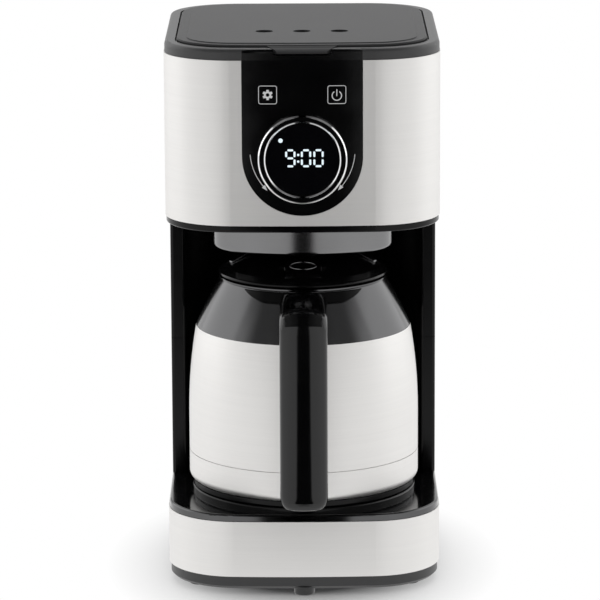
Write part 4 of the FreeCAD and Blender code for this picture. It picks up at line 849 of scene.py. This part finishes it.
class COFFEE_OT_stage(bpy.types.Operator):
    """Make the pale floor, the black flags, the soft lamps and the camera"""

    bl_idname = "coffee_maker.stage"
    bl_label = "Studio"

    def execute(self, context):
        context.scene.view_settings.view_transform = "Standard"
        self.make_world(context)
        self.make_floor(context)
        self.make_flag(context)
        self.make_lamps(context)
        self.make_camera(context)
        return {"FINISHED"}

    def rays(self, shader):
        """The rays that show the background: those from the camera, and those mirrored or let through."""
        kinds = ("Is Camera Ray", "Is Glossy Ray", "Is Transmission Ray")
        camera, glossy, through = [shader.add("ShaderNodeLightPath", output=kind) for kind in kinds]
        return camera, (glossy + through).clamp()

    def add_sheet(self, context, name, bm, finish_name):
        """Link a sheet of the stage and give it an empty material to fill."""
        mesh = bpy.data.meshes.new(name)
        bm.to_mesh(mesh)
        bm.free()
        item = bpy.data.objects.new(name, mesh)
        context.scene.collection.objects.link(item)
        material = bpy.data.materials.new(finish_name)
        material.use_nodes = True
        mesh.materials.append(material)
        return item, Shader(material.node_tree)

    def make_world(self, context):
        world = bpy.data.worlds.new("studio")
        world.use_nodes = True
        context.scene.world = world
        shader = Shader(world.node_tree)
        sky = studio().sky
        camera, mirrored = self.rays(shader)
        strength = (camera + mirrored).clamp() * (1.0 - sky) + sky
        light = shader.add("ShaderNodeBackground", sockets={"Color": (1, 1, 1, 1), "Strength": strength})
        shader.add("ShaderNodeOutputWorld", sockets={"Surface": light})

    def make_floor(self, context):
        """A pale floor that keeps the shadow and fades to white away from the machine."""
        half = 14.0
        drop = 0.1 * MM
        shadow_shape = (1.45, 1.0, 1.0)
        bm = bmesh.new()
        bmesh.ops.create_grid(bm, x_segments=8, y_segments=8, size=half)
        bmesh.ops.translate(bm, verts=bm.verts, vec=(0, 0, -drop))
        floor, shader = self.add_sheet(context, "floor", bm, "pale_floor")
        wide = shader.add("ShaderNodeMapping", sockets={"Vector": shader.place(), "Scale": shadow_shape})
        far = shader.add("ShaderNodeVectorMath", {"operation": "LENGTH"}, {0: wide}, output="Value")
        camera, mirrored = self.rays(shader)
        fade = (far.above(limit=0.078, slope=9.0) * camera + mirrored).clamp()
        paint = shader.add("ShaderNodeBsdfDiffuse", sockets={"Color": rgba(studio().floor)})
        white = shader.add("ShaderNodeEmission", sockets={"Color": (1, 1, 1, 1), "Strength": 1.0})
        both = shader.add("ShaderNodeMixShader", sockets={0: fade, 1: paint, 2: white})
        shader.add("ShaderNodeOutputMaterial", sockets={"Surface": both})

    def make_flag(self, context):
        """Black flags that polished faces mirror: a strip before the machine that rises into a hood above."""
        near = 0.13
        far = 2.9
        behind = -0.9
        low = 0.4 * MM
        high = 2.3
        hood_half = 4.5
        path = [(near, low, near), (far, low, far), (far, high, hood_half), (behind, high, hood_half)]
        runs = len(path) - 1
        bm = bmesh.new()
        verts = bmesh.ops.create_grid(bm, x_segments=1, y_segments=runs, size=runs / 2)["verts"]
        for vert in verts:
            out, rise, half = path[round(vert.co.y + runs / 2)]
            vert.co = Vector((math.copysign(half, vert.co.x), FRONT - out, rise))
        flag, shader = self.add_sheet(context, "flag", bm, "flag_black")
        shade = self.flag_shade(shader)
        clear = shader.add("ShaderNodeBsdfTransparent")
        black = shader.add("ShaderNodeBsdfDiffuse", sockets={"Color": (0, 0, 0, 1)})
        both = shader.add("ShaderNodeMixShader", sockets={0: shade, 1: clear, 2: black})
        shader.add("ShaderNodeOutputMaterial", sockets={"Surface": both})
        for ray in ("camera", "diffuse", "transmission", "shadow"):
            setattr(flag, "visible_" + ray, False)

    def flag_shade(self, shader):
        """How black the flags are: darkest along the middle, with the hood spread wide above."""
        set_back = 0.15
        hood_lean = 0.6
        hood_share = 0.8
        z = shader.along("Z")
        reach = shader.math("MAXIMUM", FRONT + set_back - shader.along("Y"), z * hood_lean)
        aside = abs(shader.along("X")) / reach
        core = aside.below(limit=0.15, slope=40.0) + aside.below(limit=0.8, slope=0.22)
        hood = aside.below(limit=2.9, slope=0.77) * z.above(limit=1.8, slope=2.0) * hood_share
        return (core + hood).clamp()

    def make_lamps(self, context):
        top = Vector((0, 0.75, 1.7))
        side = Vector((2.1, 0.9, 1.1))
        self.make_lamp(context, "top_lamp", top, wide=1.8, high=1.2, power=studio().top_lamp, mirrored=False)
        for name, sign in (("left_lamp", -1), ("right_lamp", 1)):
            place = Vector((sign * side.x, side.y, side.z))
            self.make_lamp(context, name, place, wide=2.6, high=2.2, power=studio().side_lamp, mirrored=True)

    def make_lamp(self, context, name, place, wide, high, power, mirrored):
        """A soft lamp aimed at the middle of the machine."""
        aim = Vector((0, 0, 0.18))
        light = bpy.data.lights.new(name, "AREA")
        light.shape = "RECTANGLE"
        light.size = wide
        light.size_y = high
        light.energy = power
        lamp = bpy.data.objects.new(name, light)
        lamp.location = place
        lamp.rotation_mode = "QUATERNION"
        lamp.rotation_quaternion = (aim - place).to_track_quat("-Z", "Y")
        lamp.visible_glossy = mirrored
        context.scene.collection.objects.link(lamp)

    def make_camera(self, context):
        data = bpy.data.cameras.new("camera")
        data.lens = studio().lens
        data.sensor_width = 36.0
        data.clip_end = 60.0
        camera = bpy.data.objects.new("camera", data)
        side = studio().camera_side
        camera.location = (side, FRONT - studio().camera_distance, studio().camera_height)
        aim = Vector((side, FRONT, studio().aim_height))
        turn = (aim - camera.location).to_track_quat("-Z", "Y")
        camera.rotation_mode = "QUATERNION"
        camera.rotation_quaternion = turn @ Quaternion((0, 0, 1), studio().camera_roll)
        context.scene.collection.objects.link(camera)
        context.scene.camera = camera


class COFFEE_OT_housing(bpy.types.Operator):
    """Finish the base, the column and the head"""

    bl_idname = "coffee_maker.housing"
    bl_label = "Housing"

    def execute(self, context):
        dress(brushed_steel, "base_band", "head_band")
        dress(rimmed_black, "base_shell")
        dress(deep_black, "head_shell", "lower_column", "upper_column", "carafe_seat")
        dress(black_plastic, "cord_gland")
        dress(satin_grey, "bottom_cover")
        dress(rubber, "feet")
        dress(zinc_steel, "cover_screws")
        return {"FINISHED"}


class COFFEE_OT_top(bpy.types.Operator):
    """Finish the rim and the hinged lid"""

    bl_idname = "coffee_maker.top"
    bl_label = "Rim and lid"

    def execute(self, context):
        dress(rim_grey, "top_frame")
        dress(lid_grey, "lid")
        dress(zinc_steel, "lid_hinge_pins")
        return {"FINISHED"}


class COFFEE_OT_controls(bpy.types.Operator):
    """Finish the control panel and print its keys and arrows"""

    bl_idname = "coffee_maker.controls"
    bl_label = "Control panel"

    def execute(self, context):
        dress(gloss_black, "control_panel", "selector_ring", "display_hub")
        dress(chrome, "selector_outer_trim", "selector_inner_trim")
        dress(black_plastic, "selector_clip")
        key_x = PADS[1].x - PAD_RADIUS
        key_z = (PADS[0].z + PADS[1].z) / 2 + sizes().key_rise
        key_outline("left_key", -key_x, key_z)
        key_outline("right_key", key_x, key_z)
        gear_mark(-key_x, key_z)
        power_mark(key_x, key_z)
        turn_arrow("left_arrow", mirror=False)
        turn_arrow("right_arrow", mirror=True)
        return {"FINISHED"}


class COFFEE_OT_display(bpy.types.Operator):
    """Finish the display window and light its figures"""

    bl_idname = "coffee_maker.display"
    bl_label = "Display"

    def execute(self, context):
        dress(smoked_glass, "display_window")
        size = sizes()
        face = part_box("display_window")[0].y
        x = DIAL.x + size.figures_side
        z = DIAL.z + size.figures_rise
        digit("hour_figure", "9", x + size.hour_place, z, face)
        digit("ten_figure", "0", x + size.ten_place, z, face)
        digit("unit_figure", "0", x + size.unit_place, z, face)
        colon(x + size.colon_place, z, face)
        status_dot(DIAL.x + size.dot_side, DIAL.z + size.dot_rise, face)
        return {"FINISHED"}


class COFFEE_OT_carafe(bpy.types.Operator):
    """Finish the steel carafe, its collar and its grip"""

    bl_idname = "coffee_maker.carafe"
    bl_label = "Carafe"

    def execute(self, context):
        dress(brushed_steel, "carafe_shell", "carafe_cup", "carafe_liner")
        dress(graphite, "carafe_collar")
        dress(deep_black, "handle_saddle", "carafe_foot")
        dress(gloss_black, "carafe_handle")
        dress(black_plastic, "liner_stop")
        dress(zinc_steel, "handle_screw")
        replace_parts(make_grip(), "carafe_handle")
        return {"FINISHED"}


class COFFEE_OT_carafe_lid(bpy.types.Operator):
    """Finish the carafe lid with its ribs, lever and pour valve"""

    bl_idname = "coffee_maker.carafe_lid"
    bl_label = "Carafe lid"

    def execute(self, context):
        dress(deep_black, "carafe_lid")
        dress(gloss_black, "pour_lever")
        dress(silicone, "lid_seal")
        dress(zinc_steel, "lever_pin", "pour_spring")
        soft_spring("pour_coil", "pour_spring", "carafe_cap")
        dress(grey_plastic, "pour_valve")
        lid_rib("left_rib", -1)
        lid_rib("right_rib", 1)
        thumb_rim()
        return {"FINISHED"}


class COFFEE_OT_filter(bpy.types.Operator):
    """Finish the filter housing, its basket and the drip stop"""

    bl_idname = "coffee_maker.filter"
    bl_label = "Filter"

    def execute(self, context):
        dress(pale_graphite_and_highlight, "filter_housing")
        dress(black_plastic, "filter_well", "filter_basket", "drip_valve", "shower_head")
        dress(silicone, "drip_seal")
        dress(zinc_steel, "drip_spring")
        soft_spring("drip_coil", "drip_spring", "machine")
        return {"FINISHED"}


class COFFEE_OT_waterway(bpy.types.Operator):
    """Finish the tank, the hoses and the flow heater"""

    bl_idname = "coffee_maker.waterway"
    bl_label = "Water way"

    def execute(self, context):
        dress(grey_plastic, "water_tank", "check_valve")
        dress(silicone, "cold_hose", "riser_hose", "thermal_fuse")
        dress(cast_aluminium, "flow_heater")
        dress(zinc_steel, "heater_strap", "strap_screws", "thermostat")
        dress(brass_tabs, "heater_terminals")
        return {"FINISHED"}


class COFFEE_OT_electrics(bpy.types.Operator):
    """Finish the boards and what sits on them"""

    bl_idname = "coffee_maker.electrics"
    bl_label = "Electrics"

    def execute(self, context):
        dress(circuit_board, "display_board", "control_board", "power_board")
        dress(zinc_steel, "board_screws")
        dress(silicone, "touch_pads")
        dress(black_plastic, "relay")
        return {"FINISHED"}


class COFFEE_PT_maker(bpy.types.Panel):
    """The steps and settings of the coffee maker"""

    bl_idname = "COFFEE_PT_maker"
    bl_label = "Coffee maker"
    bl_space_type = "VIEW_3D"
    bl_region_type = "UI"
    bl_category = "Coffee maker"

    def draw(self, context):
        for operator in OPERATORS:
            self.layout.operator(operator.bl_idname)
        for settings in (sizes(), colours(), studio()):
            box = self.layout.box()
            for name in settings.__annotations__:
                box.prop(settings, name)


OPERATORS = (COFFEE_OT_stage, COFFEE_OT_housing, COFFEE_OT_top, COFFEE_OT_controls, COFFEE_OT_display,
             COFFEE_OT_carafe, COFFEE_OT_carafe_lid, COFFEE_OT_filter, COFFEE_OT_waterway,
             COFFEE_OT_electrics)
SETTINGS = {"coffee_sizes": CoffeeMakerSizes, "coffee_colours": CoffeeMakerColours,
            "coffee_studio": CoffeeMakerStudio}


def register():
    for kind in (*SETTINGS.values(), *OPERATORS, COFFEE_PT_maker):
        bpy.utils.register_class(kind)
    for name, kind in SETTINGS.items():
        setattr(bpy.types.Scene, name, PointerProperty(type=kind))


def unregister():
    for name in SETTINGS:
        delattr(bpy.types.Scene, name)
    for kind in (COFFEE_PT_maker, *OPERATORS, *SETTINGS.values()):
        bpy.utils.unregister_class(kind)


def main():
    register()
    for operator in OPERATORS:
        group, name = operator.bl_idname.split(".")
        getattr(getattr(bpy.ops, group), name)()


if __name__ == "__main__":
    main()
